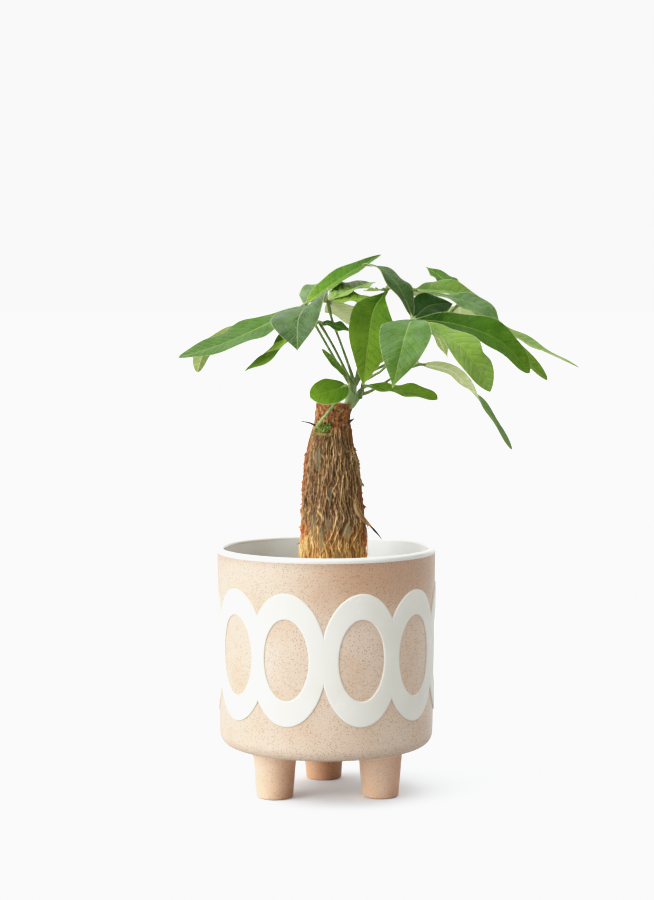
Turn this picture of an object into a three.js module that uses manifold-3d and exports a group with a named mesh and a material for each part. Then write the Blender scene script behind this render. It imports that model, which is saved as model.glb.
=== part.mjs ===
// A potted money tree: one stout cut trunk with two short green shoots and drooping hand-shaped leaves,
// in a footed stoneware pot with a raised band of overlapping cream rings.
// Millimetres, +Z up, the viewer stands on the -Y side. Leaf points are given from the pot's own axis.
import * as THREE from 'three';
import { mergeVertices } from 'three/addons/utils/BufferGeometryUtils.js';
import Module from 'manifold-3d';

const wasm = await Module();
wasm.setup();

// Place of the pot's axis under the leaves, so that the origin lies under the middle of the whole plant.
const potAxis = { x: -39.5, y: -2.9 };

// Gap kept between pieces that touch.
const gap = 0.3;

// The pot.
const pot = {
  radius: 75,            // outside, at the rim
  footRadius: 73.3,      // outside, at the bottom of the wall
  top: 169,
  bottom: 33,
  wall: 4.8,             // rounded over to half its thickness at the lip
  floor: 41,             // inside
  outerRound: 9,
  innerRound: 8,
  sides: 48,
};

// The three feet under it.
const foot = { ring: 41.5, turn: 2.5, topRadius: 15.5, bottomRadius: 12.5, edge: 1.6, sink: 2, sides: 24 };

// The raised band of rings round the wall.
const band = {
  height: 101,
  thickness: 0.6,
  outerWide: 56.4,
  outerTall: 89,
  innerWide: 32,
  innerTall: 54,
  frontRings: [-54, -21.2, 18.7, 52.9],  // degrees to the right of the front, set by hand and uneven
  backRings: 6,                          // evenly spread over the rest
  arcSteps: 6,
  seamSteps: 2,
};

// The soil and the plain hole that the trunk stands in.
const soil = {
  top: 143,
  mound: 4,                        // how much lower it lies at the wall
  rings: [58, 46, 36, 26, 13, 0],  // radii of the rows of lumps
  lump: 0.9,
  holeRadius: 26,
  holeFloor: 100,
  holeTop: 160,
  holeSides: 40,
  sides: 32,
};

// The trunk: height, middle and radius, from the buried foot to the sawn top.
const trunkSections = [
  { z: 100.3, x: 4, r: 15 },
  { z: 104, x: 4, r: 20 },
  { z: 120, x: 4, r: 23.4 },
  { z: 143, x: 4, r: 23.6 },
  { z: 161, x: 4, r: 22.9 },
  { z: 184, x: 4.4, r: 22.2 },
  { z: 200, x: 4, r: 20.9 },
  { z: 216, x: 4, r: 19.7 },
  { z: 228, x: 3.6, r: 18.3 },
  { z: 241, x: 3.4, r: 15.2 },
  { z: 247, x: 3.7, r: 13.9 },
  { z: 252, x: 3.9, r: 12.6 },
  { z: 259, x: 4.3, r: 12 },
  { z: 264, x: 5.3, r: 12.6 },
  { z: 267.5, x: 5.9, r: 13.2 },
];
const bark = { sides: 36, rows: 22, ridges: 9, depth: 0.8, knots: 0.35 };

// Bark that has come loose: where it starts round the trunk (degrees to the right of the front), its height,
// its length, how far its end stands off, and its width. A positive rise turns its end up.
const barkStrips = [
  { turn: 78, z: 198, length: 21, off: 10.5, width: 5, rise: -1 },
  { turn: 48, z: 188, length: 18, off: 6, width: 4, rise: -1 },
  { turn: 86, z: 214, length: 9, off: 3.5, width: 3.5, rise: -1 },
  { turn: 20, z: 181, length: 15, off: 3, width: 4, rise: -1 },
  { turn: -38, z: 205, length: 14, off: 2.5, width: 4, rise: 1 },
  { turn: 140, z: 206, length: 20, off: 5, width: 5, rise: -1 },
  { turn: 205, z: 186, length: 17, off: 4, width: 4.5, rise: -1 },
  { turn: 236, z: 222, length: 12, off: 3, width: 4, rise: 1 },
];
const twigs = [
  { from: [-6, -6, 251.5], to: [-17, -10, 255.5], radius: 1 },
  { from: [13, -4, 252], to: [19, -5.5, 257], radius: 1.2 },
];

// The tuft of bud scales at the foot of the round leaf's stalk, as small balls.
const budTuft = {
  radius: 2.1,
  places: [
    [-5.5, -10, 247.5], [-2.5, -12, 246.8], [0.7, -12.2, 247.2], [-4, -11.5, 250.3], [-0.8, -12.4, 249.6],
  ],
};

// The green shoots that carry the leaf stalks.
const shoots = {
  shoot_main: { path: [[14.5, -3, 256], [16.4, -3, 268], [18.3, -3.5, 284]], radius: 3.5 },
  shoot_side: { path: [[13.5, 4, 258], [18.5, 4, 266], [24.5, 3, 277]], radius: 2.6 },
};

// A leaf has a stalk from its shoot up to the hub, and blades spread from the hub.
// rib: where the midrib runs, from the hub outwards. face: where the upper side looks to, which may turn
// towards tipFace on its way out. widest: where a blade is widest, as a share of its length. foot and tip:
// how slender it is below and above that, less than 1 for a blunt end.
const leaves = {
  leaf_left: {
    shoot: 'shoot_main',
    stalk: [[18.5, -3, 277], [12, -3.5, 287], [-3, -5, 313]],
    hub: [-15, -4, 334],
    blades: {
      long: { rib: [[-43, -14, 320], [-70, -24, 308], [-99, -30, 299]], width: 31, face: [0, -0.36, 0.93],
        fold: 6, tip: 0.65 },
      behind: { rib: [[-44, 12, 322], [-72, 26, 309], [-85, 31, 301], [-90, 33, 287]], width: 18,
        face: [-0.1, 0, 1], tipFace: [-0.3, 0.8, 0.4], widest: 0.65, tip: 0.5 },
      low: { rib: [[-24, -12, 317], [-37, -20, 300], [-55, -24, 290]], width: 15,
        face: [-0.55, -0.45, 0.7], widest: 0.62, tip: 0.8 },
      curled: { rib: [[-22, -18, 318], [-30, -24, 308], [-42, -28, 302]], width: 8,
        face: [-0.55, -0.45, 0.7], widest: 0.7 },
      high: { rib: [[-3, 5, 343], [13, 16, 354], [38, 32, 369]], width: 26, face: [-0.3, -0.3, 0.9],
        tip: 0.8 },
      back: { rib: [[-9, 25, 342], [3, 52, 351]], width: 18, face: [0, -0.5, 0.85] },
    },
  },
  leaf_middle: {
    shoot: 'shoot_main',
    stalk: [[19, -3, 281], [16, -5, 291], [10, -9, 308], [4, -13, 324]],
    hub: [1, -16, 337],
    blades: {
      front: { rib: [[-11, -36, 334], [-18, -54, 325], [-19, -62, 304.5]], width: 45,
        face: [-0.6, 0.1, 0.8], tipFace: [-0.35, -0.9, 0.3], widest: 0.55, tip: 1.1 },
      upper: { rib: [[15, 2, 344], [30.5, 22, 349.5]], width: 25, face: [-0.2, -0.4, 0.9], widest: 0.6,
        tip: 0.4 },
      side: { rib: [[16, -12, 338], [32, -6, 339]], width: 18, face: [0, -0.4, 0.9] },
      back: { rib: [[12, 2, 328], [20, 20, 323], [34, 44, 314]], width: 34, face: [0.3, 0.7, 0.7],
        widest: 0.45 },
    },
  },
  leaf_front: {
    shoot: 'shoot_main',
    stalk: [[20, -4, 281], [23, -10, 296], [31, -19, 322]],
    hub: [41, -24, 345],
    blades: {
      front: { rib: [[31.5, -40, 331], [28, -52, 313], [24, -59, 282]], width: 34,
        face: [0.35, -0.75, 0.6], fold: 18, foot: 1.8 },
      left: { rib: [[32, -26, 344], [25, -22, 344]], width: 10, face: [0, 0, 1] },
      back: { rib: [[47, -5, 346], [51, 12, 348]], width: 12, face: [0, 0, 1] },
    },
  },
  leaf_right: {
    shoot: 'shoot_side',
    stalk: [[24.5, 3, 275], [25.5, -3, 282], [31, -12, 286], [39, -22, 292], [50, -37, 308]],
    hub: [57, -44, 325],
    blades: {
      arching: { rib: [[53, -36, 337], [46, -26, 350], [36, -13, 359.5], [25, -2, 361]], width: 25,
        face: [0.5, -0.3, 0.8], fold: 5, tip: 0.6 },
      spade: { rib: [[54, -60, 321], [50, -72, 309], [43, -78, 281]], width: 34, face: [0, -0.2, 1],
        tipFace: [0, -0.95, 0.3], fold: 6, widest: 0.42, tip: 1.15 },
      lower: { rib: [[75, -58, 316], [92, -66, 303], [107, -70, 278]], width: 27, face: [0.2, -0.6, 0.7],
        widest: 0.7, foot: 1.3, tip: 0.75 },
      long: { rib: [[86, -38, 321.5], [115, -36, 310.5], [136, -32, 289]], width: 30,
        face: [0, -0.55, 0.83], widest: 0.6, tip: 0.55 },
      behind: { rib: [[83, -20, 323], [118, -6, 310], [151, 0, 283]], width: 28, face: [0.1, -0.4, 0.9],
        widest: 0.65, tip: 0.5 },
      under: { rib: [[73, -30, 315], [82, -14, 299]], width: 9, face: [0.3, 0.7, 0.7], widest: 0.6 },
      dark: { rib: [[70, -20, 334], [86, -2, 335]], width: 23, face: [0, -0.85, 0.5] },
    },
  },
  leaf_back: {
    shoot: 'shoot_main',
    stalk: [[20, -3, 280], [26, 2, 289], [40, 8, 297], [55, 12, 310], [61, 14, 325]],
    hub: [58, 12, 345],
    blades: {
      upper: { rib: [[79, 26, 344], [95, 32, 341], [114, 36, 333]], width: 25, face: [0, -0.5, 0.85],
        foot: 1.6 },
      right: { rib: [[78, 10, 339], [96, 8, 335], [108, 7, 331], [118, 6, 324]], width: 21,
        face: [0, -0.5, 0.85], fold: 5, widest: 0.75, foot: 1.8, tip: 0.9 },
      rear: { rib: [[69, 40, 339], [79, 62, 334]], width: 14, face: [0, 0.2, 1] },
    },
  },
  leaf_far_right: {
    shoot: 'shoot_main',
    stalk: [[18.5, -1, 276], [21, 6, 284], [40, 14, 293], [58, 24, 306], [79, 34, 322]],
    hub: [93, 40, 335],
    blades: {
      long: { rib: [[111, 42, 325], [130, 45, 313], [150, 48, 303], [178, 50, 290]], width: 22,
        face: [0.35, 0.1, 0.9], widest: 0.4, tip: 1.6 },
      rising: { rib: [[84, 58, 346], [76, 68, 355], [71, 76, 361]], width: 11, face: [0.4, 0.6, 0.8],
        tip: 1.2 },
      drooping: { rib: [[95, 62, 325], [95, 84, 307]], width: 25, face: [0, 0.6, 0.8], foot: 1.2 },
    },
  },
  leaf_low: {
    shoot: 'shoot_side',
    stalk: [[23.5, 3.5, 273], [32, 8, 276], [54, 20, 289]],
    hub: [65, 28, 293],
    blades: {
      long: { rib: [[78, 36, 291], [89, 40, 287], [97, 43, 279], [113.5, 47, 259.5], [131, 50, 232]],
        width: 12.5, face: [0.1, 0.9, 0.4], tipFace: [0.5, -0.8, 0.4], widest: 0.27, tip: 0.5 },
      rear: { rib: [[57, 46, 295], [46, 70, 297]], width: 14, face: [0, 0, 1] },
    },
  },
  leaf_small: {
    shoot: 'shoot_main',
    stalk: [[19, -4, 278], [15, -9, 286], [5, -12.5, 306]],
    hub: [-5, -13, 323],
    blades: {
      right: { rib: [[5, -21, 320.5], [19, -26, 316]], width: 9, face: [0, -0.6, 0.8], foot: 1.2 },
      left: { rib: [[-10, -20, 320], [-16, -27, 312]], width: 9, face: [0, 0, 1] },
    },
  },
  leaf_single: {
    shoot: 'shoot_side',
    stalk: [[23.5, 2.5, 271], [24.5, -4, 276.5]],
    hub: [27, -8, 279.5],
    blades: {
      only: { rib: [[44, -14, 277], [60, -20, 275], [75, -24, 271]], width: 17, face: [0, -0.45, 0.9],
        widest: 0.75, foot: 0.5, tip: 0.5 },
    },
  },
  leaf_young: {
    shoot: 'shoot_main',
    stalk: [[19, -4.5, 273], [17.5, -8, 278]],
    hub: [16, -11, 284],
    blades: {
      only: { rib: [[7, -15, 294], [-3, -18, 305]], width: 5.5, face: [-0.6, -0.5, 0.6], fold: 25,
        foot: 0.8, tip: 0.5 },
    },
  },
  leaf_round: {
    stalk: [[-3, -9, 249.5], [-5.5, -14, 253], [0, -17.5, 260.5], [6.5, -19.5, 269], [13, -17.5, 278]],
    hub: [14, -17, 280],
    blades: {
      only: { rib: [[4, -22, 276.5], [-10.5, -26, 272.5]], width: 23.5, face: [0, -0.7, 0.7], foot: 0.6,
        tip: 0.6 },
    },
  },
};
const leafForm = {
  thickness: 0.8,
  rowLength: 10,      // length of one step along a blade
  leastRows: 5,
  mostRows: 9,
  halves: 2,         // steps from the midrib to an edge
  footWidth: 1.6,
  tipWidth: 0.8,
  widest: 0.5,
  foot: 1,
  tip: 1,
  fold: 12,          // degrees that each half rises from the midrib
  wave: 1.1,         // height of the waves along an edge
  waves: 2.5,
  stalkRadius: 1,
  stalkSides: 6,
  stalkSteps: 8,
  hubRadius: 1.9,
};

const toVector = (point) => new THREE.Vector3(...point);
const radians = THREE.MathUtils.degToRad;

// ---- joining and cutting ----

function toSolid(geometry) {
  const bare = geometry.index ? geometry.clone() : geometry;
  bare.deleteAttribute('normal');
  bare.deleteAttribute('uv');
  const merged = mergeVertices(bare, 1e-4);
  return new wasm.Manifold(new wasm.Mesh({
    numProp: 3,
    vertProperties: new Float32Array(merged.attributes.position.array),
    triVerts: new Uint32Array(merged.index.array),
  }));
}

function toMesh(solid, name, material) {
  const result = solid.getMesh();
  const geometry = new THREE.BufferGeometry();
  geometry.setAttribute('position', new THREE.BufferAttribute(new Float32Array(result.vertProperties), 3));
  geometry.setIndex(new THREE.BufferAttribute(new Uint32Array(result.triVerts), 1));
  geometry.computeVertexNormals();
  const mesh = new THREE.Mesh(geometry, material);
  mesh.name = name;
  return mesh;
}

function joined(solids) {
  return solids.reduce((whole, piece) => whole.add(piece));
}

// A closed skin over rows of points that go round a body, with a fan at each end.
function closedRows(rows) {
  const around = rows[0].length;
  const positions = rows.flat().flatMap((p) => [p.x, p.y, p.z]);
  const indices = [];
  for (let i = 0; i < rows.length - 1; i += 1) {
    for (let j = 0; j < around; j += 1) {
      const a = i * around + j;
      const b = i * around + (j + 1) % around;
      indices.push(a, b, a + around, b, b + around, a + around);
    }
  }
  for (const [row, turned] of [[0, true], [rows.length - 1, false]]) {
    const middle = rows[row].reduce((sum, p) => sum.add(p), new THREE.Vector3()).divideScalar(around);
    const centre = positions.length / 3;
    positions.push(middle.x, middle.y, middle.z);
    for (let j = 0; j < around; j += 1) {
      const a = row * around + j;
      const b = row * around + (j + 1) % around;
      indices.push(...(turned ? [b, a, centre] : [a, b, centre]));
    }
  }
  const geometry = new THREE.BufferGeometry();
  geometry.setAttribute('position', new THREE.Float32BufferAttribute(positions, 3));
  geometry.setIndex(indices);
  return geometry;
}

function rod(points, radius, sides, steps) {
  const section = new THREE.Shape();
  section.absarc(0, 0, radius, 0, 2 * Math.PI);  // drawn with twice its curve segments
  return toSolid(new THREE.ExtrudeGeometry(section, {
    curveSegments: sides / 2,
    steps,
    bevelEnabled: false,
    extrudePath: new THREE.CatmullRomCurve3(points.map(toVector)),
  }));
}

function ball(centre, radius) {
  return toSolid(new THREE.SphereGeometry(radius, 8, 5)).translate(centre);
}

// ---- pot ----

function wallRadius(z) {
  return THREE.MathUtils.mapLinear(z, pot.bottom, pot.top, pot.footRadius, pot.radius);
}

// Points of a quarter turn of an edge, from one angle to another in degrees.
function edgeArc(x, z, radius, from, to, steps) {
  return Array.from({ length: steps + 1 }, (_, i) => {
    const angle = radians(from + ((to - from) * i) / steps);
    return new THREE.Vector2(x + radius * Math.cos(angle), z + radius * Math.sin(angle));
  });
}

function turned(profile, sides) {
  return toSolid(new THREE.LatheGeometry(profile, sides)).rotate([90, 0, 0]);
}

function potSolid() {
  const insideLow = pot.footRadius - pot.wall;
  const lip = pot.wall / 2;
  const profile = [
    new THREE.Vector2(0, pot.bottom),
    ...edgeArc(pot.footRadius - pot.outerRound, pot.bottom + pot.outerRound, pot.outerRound, -90, 0, 4),
    ...edgeArc(pot.radius - lip, pot.top - lip, lip, 0, 180, 5),
    ...edgeArc(insideLow - pot.innerRound, pot.floor + pot.innerRound, pot.innerRound, 0, -90, 3),
    new THREE.Vector2(0, pot.floor),
  ];
  return joined([turned(profile, pot.sides), ...[-150, -30, 90].map(footSolid)]);
}

function footSolid(direction) {
  const angle = radians(direction + foot.turn);
  const profile = [
    new THREE.Vector2(0, 0),
    ...edgeArc(foot.bottomRadius - foot.edge, foot.edge, foot.edge, -90, 0, 2),
    new THREE.Vector2(foot.topRadius, pot.bottom + foot.sink),
    new THREE.Vector2(0, pot.bottom + foot.sink),
  ];
  const place = [foot.ring * Math.cos(angle), foot.ring * Math.sin(angle), 0];
  return turned(profile, foot.sides).translate(place);
}

// ---- band of rings ----

// Middles of the rings, in degrees to the right of the front, all the way round.
function ringTurns() {
  const first = band.frontRings[0];
  const last = band.frontRings.at(-1);
  const step = (first + 360 - last) / (band.backRings + 1);
  return [...band.frontRings, ...Array.from({ length: band.backRings }, (_, i) => last + step * (i + 1))];
}

// The edge of one ring's share of the band, as offsets from its middle: the outer oval, cut by straight
// seams where the neighbouring rings begin. Left and right are the half gaps to the neighbours.
function ringEdge(left, right) {
  const tall = band.outerTall / 2;
  const wide = band.outerWide / 2;
  const crossing = (half) => tall * Math.sqrt(1 - (half / wide) ** 2);
  const points = [];
  const addArc = (from, to) => {
    for (let i = 0; i < band.arcSteps; i += 1) {
      const angle = from + ((to - from) * i) / band.arcSteps;
      points.push([wide * Math.sin(angle), tall * Math.cos(angle), false]);
    }
  };
  const addSeam = (x, from, to) => {
    for (let i = 0; i < 2 * band.seamSteps; i += 1) {
      points.push([x, from + ((to - from) * i) / (2 * band.seamSteps), true]);
    }
  };
  const leftAngle = Math.asin(left / wide);
  const rightAngle = Math.asin(right / wide);
  addArc(-leftAngle, rightAngle);
  addSeam(right, crossing(right), -crossing(right));
  addArc(Math.PI - rightAngle, Math.PI + leftAngle);
  addSeam(-left, -crossing(left), crossing(left));
  return points;
}

function bandSolid() {
  const turns = ringTurns();
  const positions = [];
  const addVertex = (turn, along, up, lift) => {
    const z = band.height + up;
    const angle = radians(turn) + along / pot.radius;
    const r = wallRadius(z) + lift;
    positions.push(r * Math.sin(angle), -r * Math.cos(angle), z);
    return positions.length / 3 - 1;
  };
  const indices = [];
  const addQuad = (a, b, c, d) => indices.push(a, b, c, a, c, d);
  turns.forEach((turn, ring) => {
    const before = turns[(ring + turns.length - 1) % turns.length];
    const after = turns[(ring + 1) % turns.length];
    const arc = (from, to) => radians((to - from + 360) % 360) * pot.radius;
    const edge = ringEdge(arc(before, turn) / 2, arc(turn, after) / 2);
    const skins = [gap, gap + band.thickness].map((lift) => edge.map(([x, z]) => {
      const angle = Math.atan2(x / band.outerWide, z / band.outerTall);
      const holeX = (band.innerWide / 2) * Math.sin(angle);
      const holeZ = (band.innerTall / 2) * Math.cos(angle);
      return {
        rim: addVertex(turn, x, z, lift),
        middle: addVertex(turn, (x + holeX) / 2, (z + holeZ) / 2, lift),
        hole: addVertex(turn, holeX, holeZ, lift),
      };
    }));
    const [inner, outer] = skins;
    edge.forEach(([, , seam], i) => {
      const next = (i + 1) % edge.length;
      addQuad(outer[i].middle, outer[next].middle, outer[next].rim, outer[i].rim);
      addQuad(outer[i].hole, outer[next].hole, outer[next].middle, outer[i].middle);
      addQuad(inner[i].rim, inner[next].rim, inner[next].hole, inner[i].hole);
      addQuad(outer[i].hole, inner[i].hole, inner[next].hole, outer[next].hole);
      if (!seam) addQuad(outer[next].rim, inner[next].rim, inner[i].rim, outer[i].rim);
    });
  });
  const geometry = new THREE.BufferGeometry();
  geometry.setAttribute('position', new THREE.Float32BufferAttribute(positions, 3));
  geometry.setIndex(indices);
  return toSolid(geometry);
}

// ---- trunk and soil ----

// Middle and radius of the trunk at a height, drawn smoothly through its sections.
const trunkCurve = new THREE.CatmullRomCurve3(
  trunkSections.map(({ z, x, r }) => new THREE.Vector3(x, r, z)), false, 'catmullrom', 0.4);

function trunkAt(z) {
  const index = Math.max(1, trunkSections.findIndex((section) => section.z >= z));
  const below = trunkSections[index - 1];
  const above = trunkSections[index];
  const share = (z - below.z) / (above.z - below.z);
  const point = trunkCurve.getPoint((index - 1 + share) / (trunkSections.length - 1));
  return { x: point.x, r: point.y };
}

// Wavering upright ridges with knots between them.
function barkRelief(angle, z) {
  const ridge = Math.sin(bark.ridges * angle + 1.6 * Math.sin(z / 13) + 0.8 * Math.sin(z / 5 + 2 * angle));
  const knot = Math.sin(5 * angle + z / 6) * Math.sin(z / 4.3 - 3 * angle);
  return bark.depth * ridge + bark.knots * knot;
}

// A point on the trunk's surface, at an angle in degrees to the right of the front.
function trunkPoint(turn, z, off) {
  const { x, r } = trunkAt(z);
  const angle = radians(turn);
  return [x + (r + off) * Math.sin(angle), -(r + off) * Math.cos(angle), z];
}

function trunkSolid() {
  const low = trunkSections[0].z;
  const high = trunkSections.at(-1).z;
  const rows = Array.from({ length: bark.rows + 1 }, (_, i) => {
    const z = low + ((high - low) * i) / bark.rows;
    const { x, r } = trunkAt(z);
    return Array.from({ length: bark.sides }, (_point, j) => {
      const angle = (2 * Math.PI * j) / bark.sides;
      const radius = r + barkRelief(angle, z);
      return new THREE.Vector3(x + radius * Math.cos(angle), radius * Math.sin(angle), z);
    });
  });
  const strips = barkStrips.map((strip) => {
    const fall = strip.rise * strip.length;
    return bladeSolid({
      rib: [
        trunkPoint(strip.turn, strip.z, -2),
        trunkPoint(strip.turn + 2, strip.z + fall * 0.4, 0.8),
        trunkPoint(strip.turn + 5, strip.z + fall, strip.off),
      ],
      face: [Math.sin(radians(strip.turn)), -Math.cos(radians(strip.turn)), 0],
      width: strip.width,
      fold: -20,
      wave: 0,
      halves: 1,
      thickness: 1,
    });
  });
  const stubs = twigs.map(({ from, to, radius }) => rod([from, to], radius, 7, 3));
  const scales = budTuft.places.map((place) => ball(place, budTuft.radius));
  return joined([toSolid(closedRows(rows)), ...strips, ...stubs, ...scales]);
}

function soilSolid() {
  const wall = (z) => wallRadius(z) - pot.wall - 2 * gap;
  const corner = pot.floor + pot.innerRound + gap;
  const profile = [
    new THREE.Vector2(0, pot.floor + gap),
    ...edgeArc(wall(corner) - pot.innerRound, corner, pot.innerRound, -90, 0, 3),
    new THREE.Vector2(wall(soil.top), soil.top - soil.mound),
    ...soil.rings.map((r) => new THREE.Vector2(r, soil.top - soil.mound * (r / pot.radius) ** 2)),
  ];
  const geometry = mergeVertices(new THREE.LatheGeometry(profile, soil.sides).deleteAttribute('uv'), 1e-4);
  const position = geometry.attributes.position;
  for (let i = 0; i < position.count; i += 1) {
    const p = new THREE.Vector3().fromBufferAttribute(position, i);
    if (p.y > soil.top - soil.mound && Math.hypot(p.x, p.z) <= soil.rings[0] + 1) {
      position.setY(i, p.y + soil.lump * Math.sin(p.x / 3.1) * Math.cos(p.z / 2.7 + p.x / 9));
    }
  }
  const depth = soil.holeTop - soil.holeFloor;
  const hole = new THREE.CylinderGeometry(soil.holeRadius, soil.holeRadius, depth, soil.holeSides);
  const { x } = trunkAt(soil.top);
  const cutter = toSolid(hole).rotate([90, 0, 0]).translate([x, 0, (soil.holeTop + soil.holeFloor) / 2]);
  return toSolid(geometry).rotate([90, 0, 0]).subtract(cutter);
}

// ---- leaves ----

// Half the width of a blade at a share of its length: a quarter wave up to the widest place and one down.
function halfWidth(share, blade) {
  const { widest, foot: slenderFoot, tip, footWidth, tipWidth } = { ...leafForm, ...blade };
  const quarter = Math.PI / 2;
  const rise = Math.sin(quarter * Math.min(share / widest, 1)) ** slenderFoot;
  const fall = Math.cos(quarter * Math.max((share - widest) / (1 - widest), 0)) ** tip;
  const least = THREE.MathUtils.lerp(footWidth, tipWidth, share) / 2;
  return Math.max((blade.width / 2) * rise * fall, least);
}

// One thin blade along its midrib, folded up a little from the rib and waved along its edges.
function bladeSolid(blade) {
  const { rib, face, tipFace = face } = blade;
  const fold = radians(blade.fold ?? leafForm.fold);
  const wave = blade.wave ?? leafForm.wave;
  const thickness = blade.thickness ?? leafForm.thickness;
  const curve = new THREE.CatmullRomCurve3(rib.map(toVector), false, 'catmullrom', 0.5);
  const steps = Math.round(curve.getLength() / leafForm.rowLength);
  const rows = THREE.MathUtils.clamp(steps, leafForm.leastRows, leafForm.mostRows);
  const halves = blade.halves ?? leafForm.halves;
  const across = 2 * halves;
  const upper = [];
  const lower = [];
  for (let i = 0; i <= rows; i += 1) {
    const share = i / rows;
    const centre = curve.getPointAt(share);
    const along = curve.getTangentAt(share);
    const side = along.clone().cross(toVector(face).lerp(toVector(tipFace), share)).normalize();
    const up = side.clone().cross(along);
    const half = halfWidth(share, blade);
    for (let j = 0; j <= across; j += 1) {
      const out = j / halves - 1;
      const swing = wave * out * out * Math.sin(2 * Math.PI * leafForm.waves * share + 1.4 * Math.sign(out));
      const lift = Math.abs(out) * half * Math.sin(fold) + swing * Math.sin(Math.PI * share);
      const point = centre.clone()
        .addScaledVector(side, out * half * Math.cos(fold))
        .addScaledVector(up, lift);
      upper.push(point.clone().addScaledVector(up, thickness / 2));
      lower.push(point.clone().addScaledVector(up, -thickness / 2));
    }
  }
  const count = upper.length;
  const indices = [];
  const addQuad = (a, b, c, d) => indices.push(a, b, c, a, c, d);
  const at = (i, j) => i * (across + 1) + j;
  for (let i = 0; i < rows; i += 1) {
    for (let j = 0; j < across; j += 1) {
      const [a, b, c, d] = [at(i, j), at(i + 1, j), at(i + 1, j + 1), at(i, j + 1)];
      indices.push(a, d, c, a, c, b);
      indices.push(a + count, c + count, d + count, a + count, b + count, c + count);
    }
    addQuad(at(i, 0), at(i + 1, 0), at(i + 1, 0) + count, at(i, 0) + count);
    addQuad(at(i + 1, across), at(i, across), at(i, across) + count, at(i + 1, across) + count);
  }
  for (let j = 0; j < across; j += 1) {
    addQuad(at(0, j + 1), at(0, j), at(0, j) + count, at(0, j + 1) + count);
    addQuad(at(rows, j), at(rows, j + 1), at(rows, j + 1) + count, at(rows, j) + count);
  }
  const geometry = new THREE.BufferGeometry();
  geometry.setAttribute('position',
    new THREE.Float32BufferAttribute([...upper, ...lower].flatMap((p) => [p.x, p.y, p.z]), 3));
  geometry.setIndex(indices);
  return toSolid(geometry);
}

function leafSolid(leaf) {
  const { stalkRadius, stalkSides, stalkSteps } = leafForm;
  const stalk = rod([...leaf.stalk, leaf.hub], stalkRadius, stalkSides, stalkSteps);
  const blades = Object.values(leaf.blades).map((blade) => {
    const rib = [leaf.hub, ...blade.rib];
    return bladeSolid({ ...blade, rib });
  });
  return joined([stalk, ball(leaf.hub, leafForm.hubRadius), ...blades]);
}

// ---- the whole plant ----

function material(color, roughness) {
  return new THREE.MeshStandardMaterial({ color, roughness, metalness: 0 });
}
const stoneware = material(0xe0b795, 0.35);
const creamGlaze = material(0xf0ebe0, 0.25);
const darkSoil = material(0x3a2c22, 0.95);
const barkBrown = material(0x7d5a3a, 0.9);
const stemGreen = material(0x86a35c, 0.6);
const leafGreen = material(0x5a8f35, 0.45);

const plant = new THREE.Group();
plant.position.set(potAxis.x, potAxis.y, 0);

const shootRod = ({ path, radius }, extra = 0) => rod(path, radius + extra, 12, 8);
const roundLeafStalk = rod(leaves.leaf_round.stalk, leafForm.stalkRadius + gap, leafForm.stalkSides, 8);
const sockets = [...Object.values(shoots).map((shoot) => shootRod(shoot, gap)), roundLeafStalk];

plant.add(toMesh(potSolid(), 'pot', stoneware));
plant.add(toMesh(bandSolid(), 'ring_band', creamGlaze));
plant.add(toMesh(soilSolid(), 'soil', darkSoil));
plant.add(toMesh(trunkSolid().subtract(joined(sockets)), 'trunk', barkBrown));
for (const [name, shoot] of Object.entries(shoots)) {
  plant.add(toMesh(shootRod(shoot), name, stemGreen));
}
for (const [name, leaf] of Object.entries(leaves)) {
  const solid = leaf.shoot ? leafSolid(leaf).subtract(shootRod(shoots[leaf.shoot], gap)) : leafSolid(leaf);
  plant.add(toMesh(solid, name, leafGreen));
}

export default plant;
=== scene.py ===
import math
import random

import bmesh
import bpy
import numpy as np
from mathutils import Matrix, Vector


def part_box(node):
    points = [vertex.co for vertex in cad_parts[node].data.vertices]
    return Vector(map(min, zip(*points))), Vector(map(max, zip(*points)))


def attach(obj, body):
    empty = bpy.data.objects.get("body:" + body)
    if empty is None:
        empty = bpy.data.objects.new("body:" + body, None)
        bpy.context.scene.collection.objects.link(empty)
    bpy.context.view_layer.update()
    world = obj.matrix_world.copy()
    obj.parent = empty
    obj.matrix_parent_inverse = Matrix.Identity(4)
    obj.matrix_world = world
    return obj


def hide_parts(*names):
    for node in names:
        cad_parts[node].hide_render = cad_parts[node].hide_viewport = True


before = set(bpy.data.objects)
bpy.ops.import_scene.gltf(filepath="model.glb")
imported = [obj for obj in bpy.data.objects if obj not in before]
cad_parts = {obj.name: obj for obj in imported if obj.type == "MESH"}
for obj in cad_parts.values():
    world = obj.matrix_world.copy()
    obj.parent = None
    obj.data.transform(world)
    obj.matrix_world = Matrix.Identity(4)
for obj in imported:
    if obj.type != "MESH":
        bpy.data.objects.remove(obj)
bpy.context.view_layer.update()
potLow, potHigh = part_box("pot")
potAxis = np.array([(potLow.x + potHigh.x) / 2, (potLow.y + potHigh.y) / 2, 0.0])
mm = 0.001
print("frame loaded:", len(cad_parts), "nodes, pot axis at", potAxis.round(4))

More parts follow.
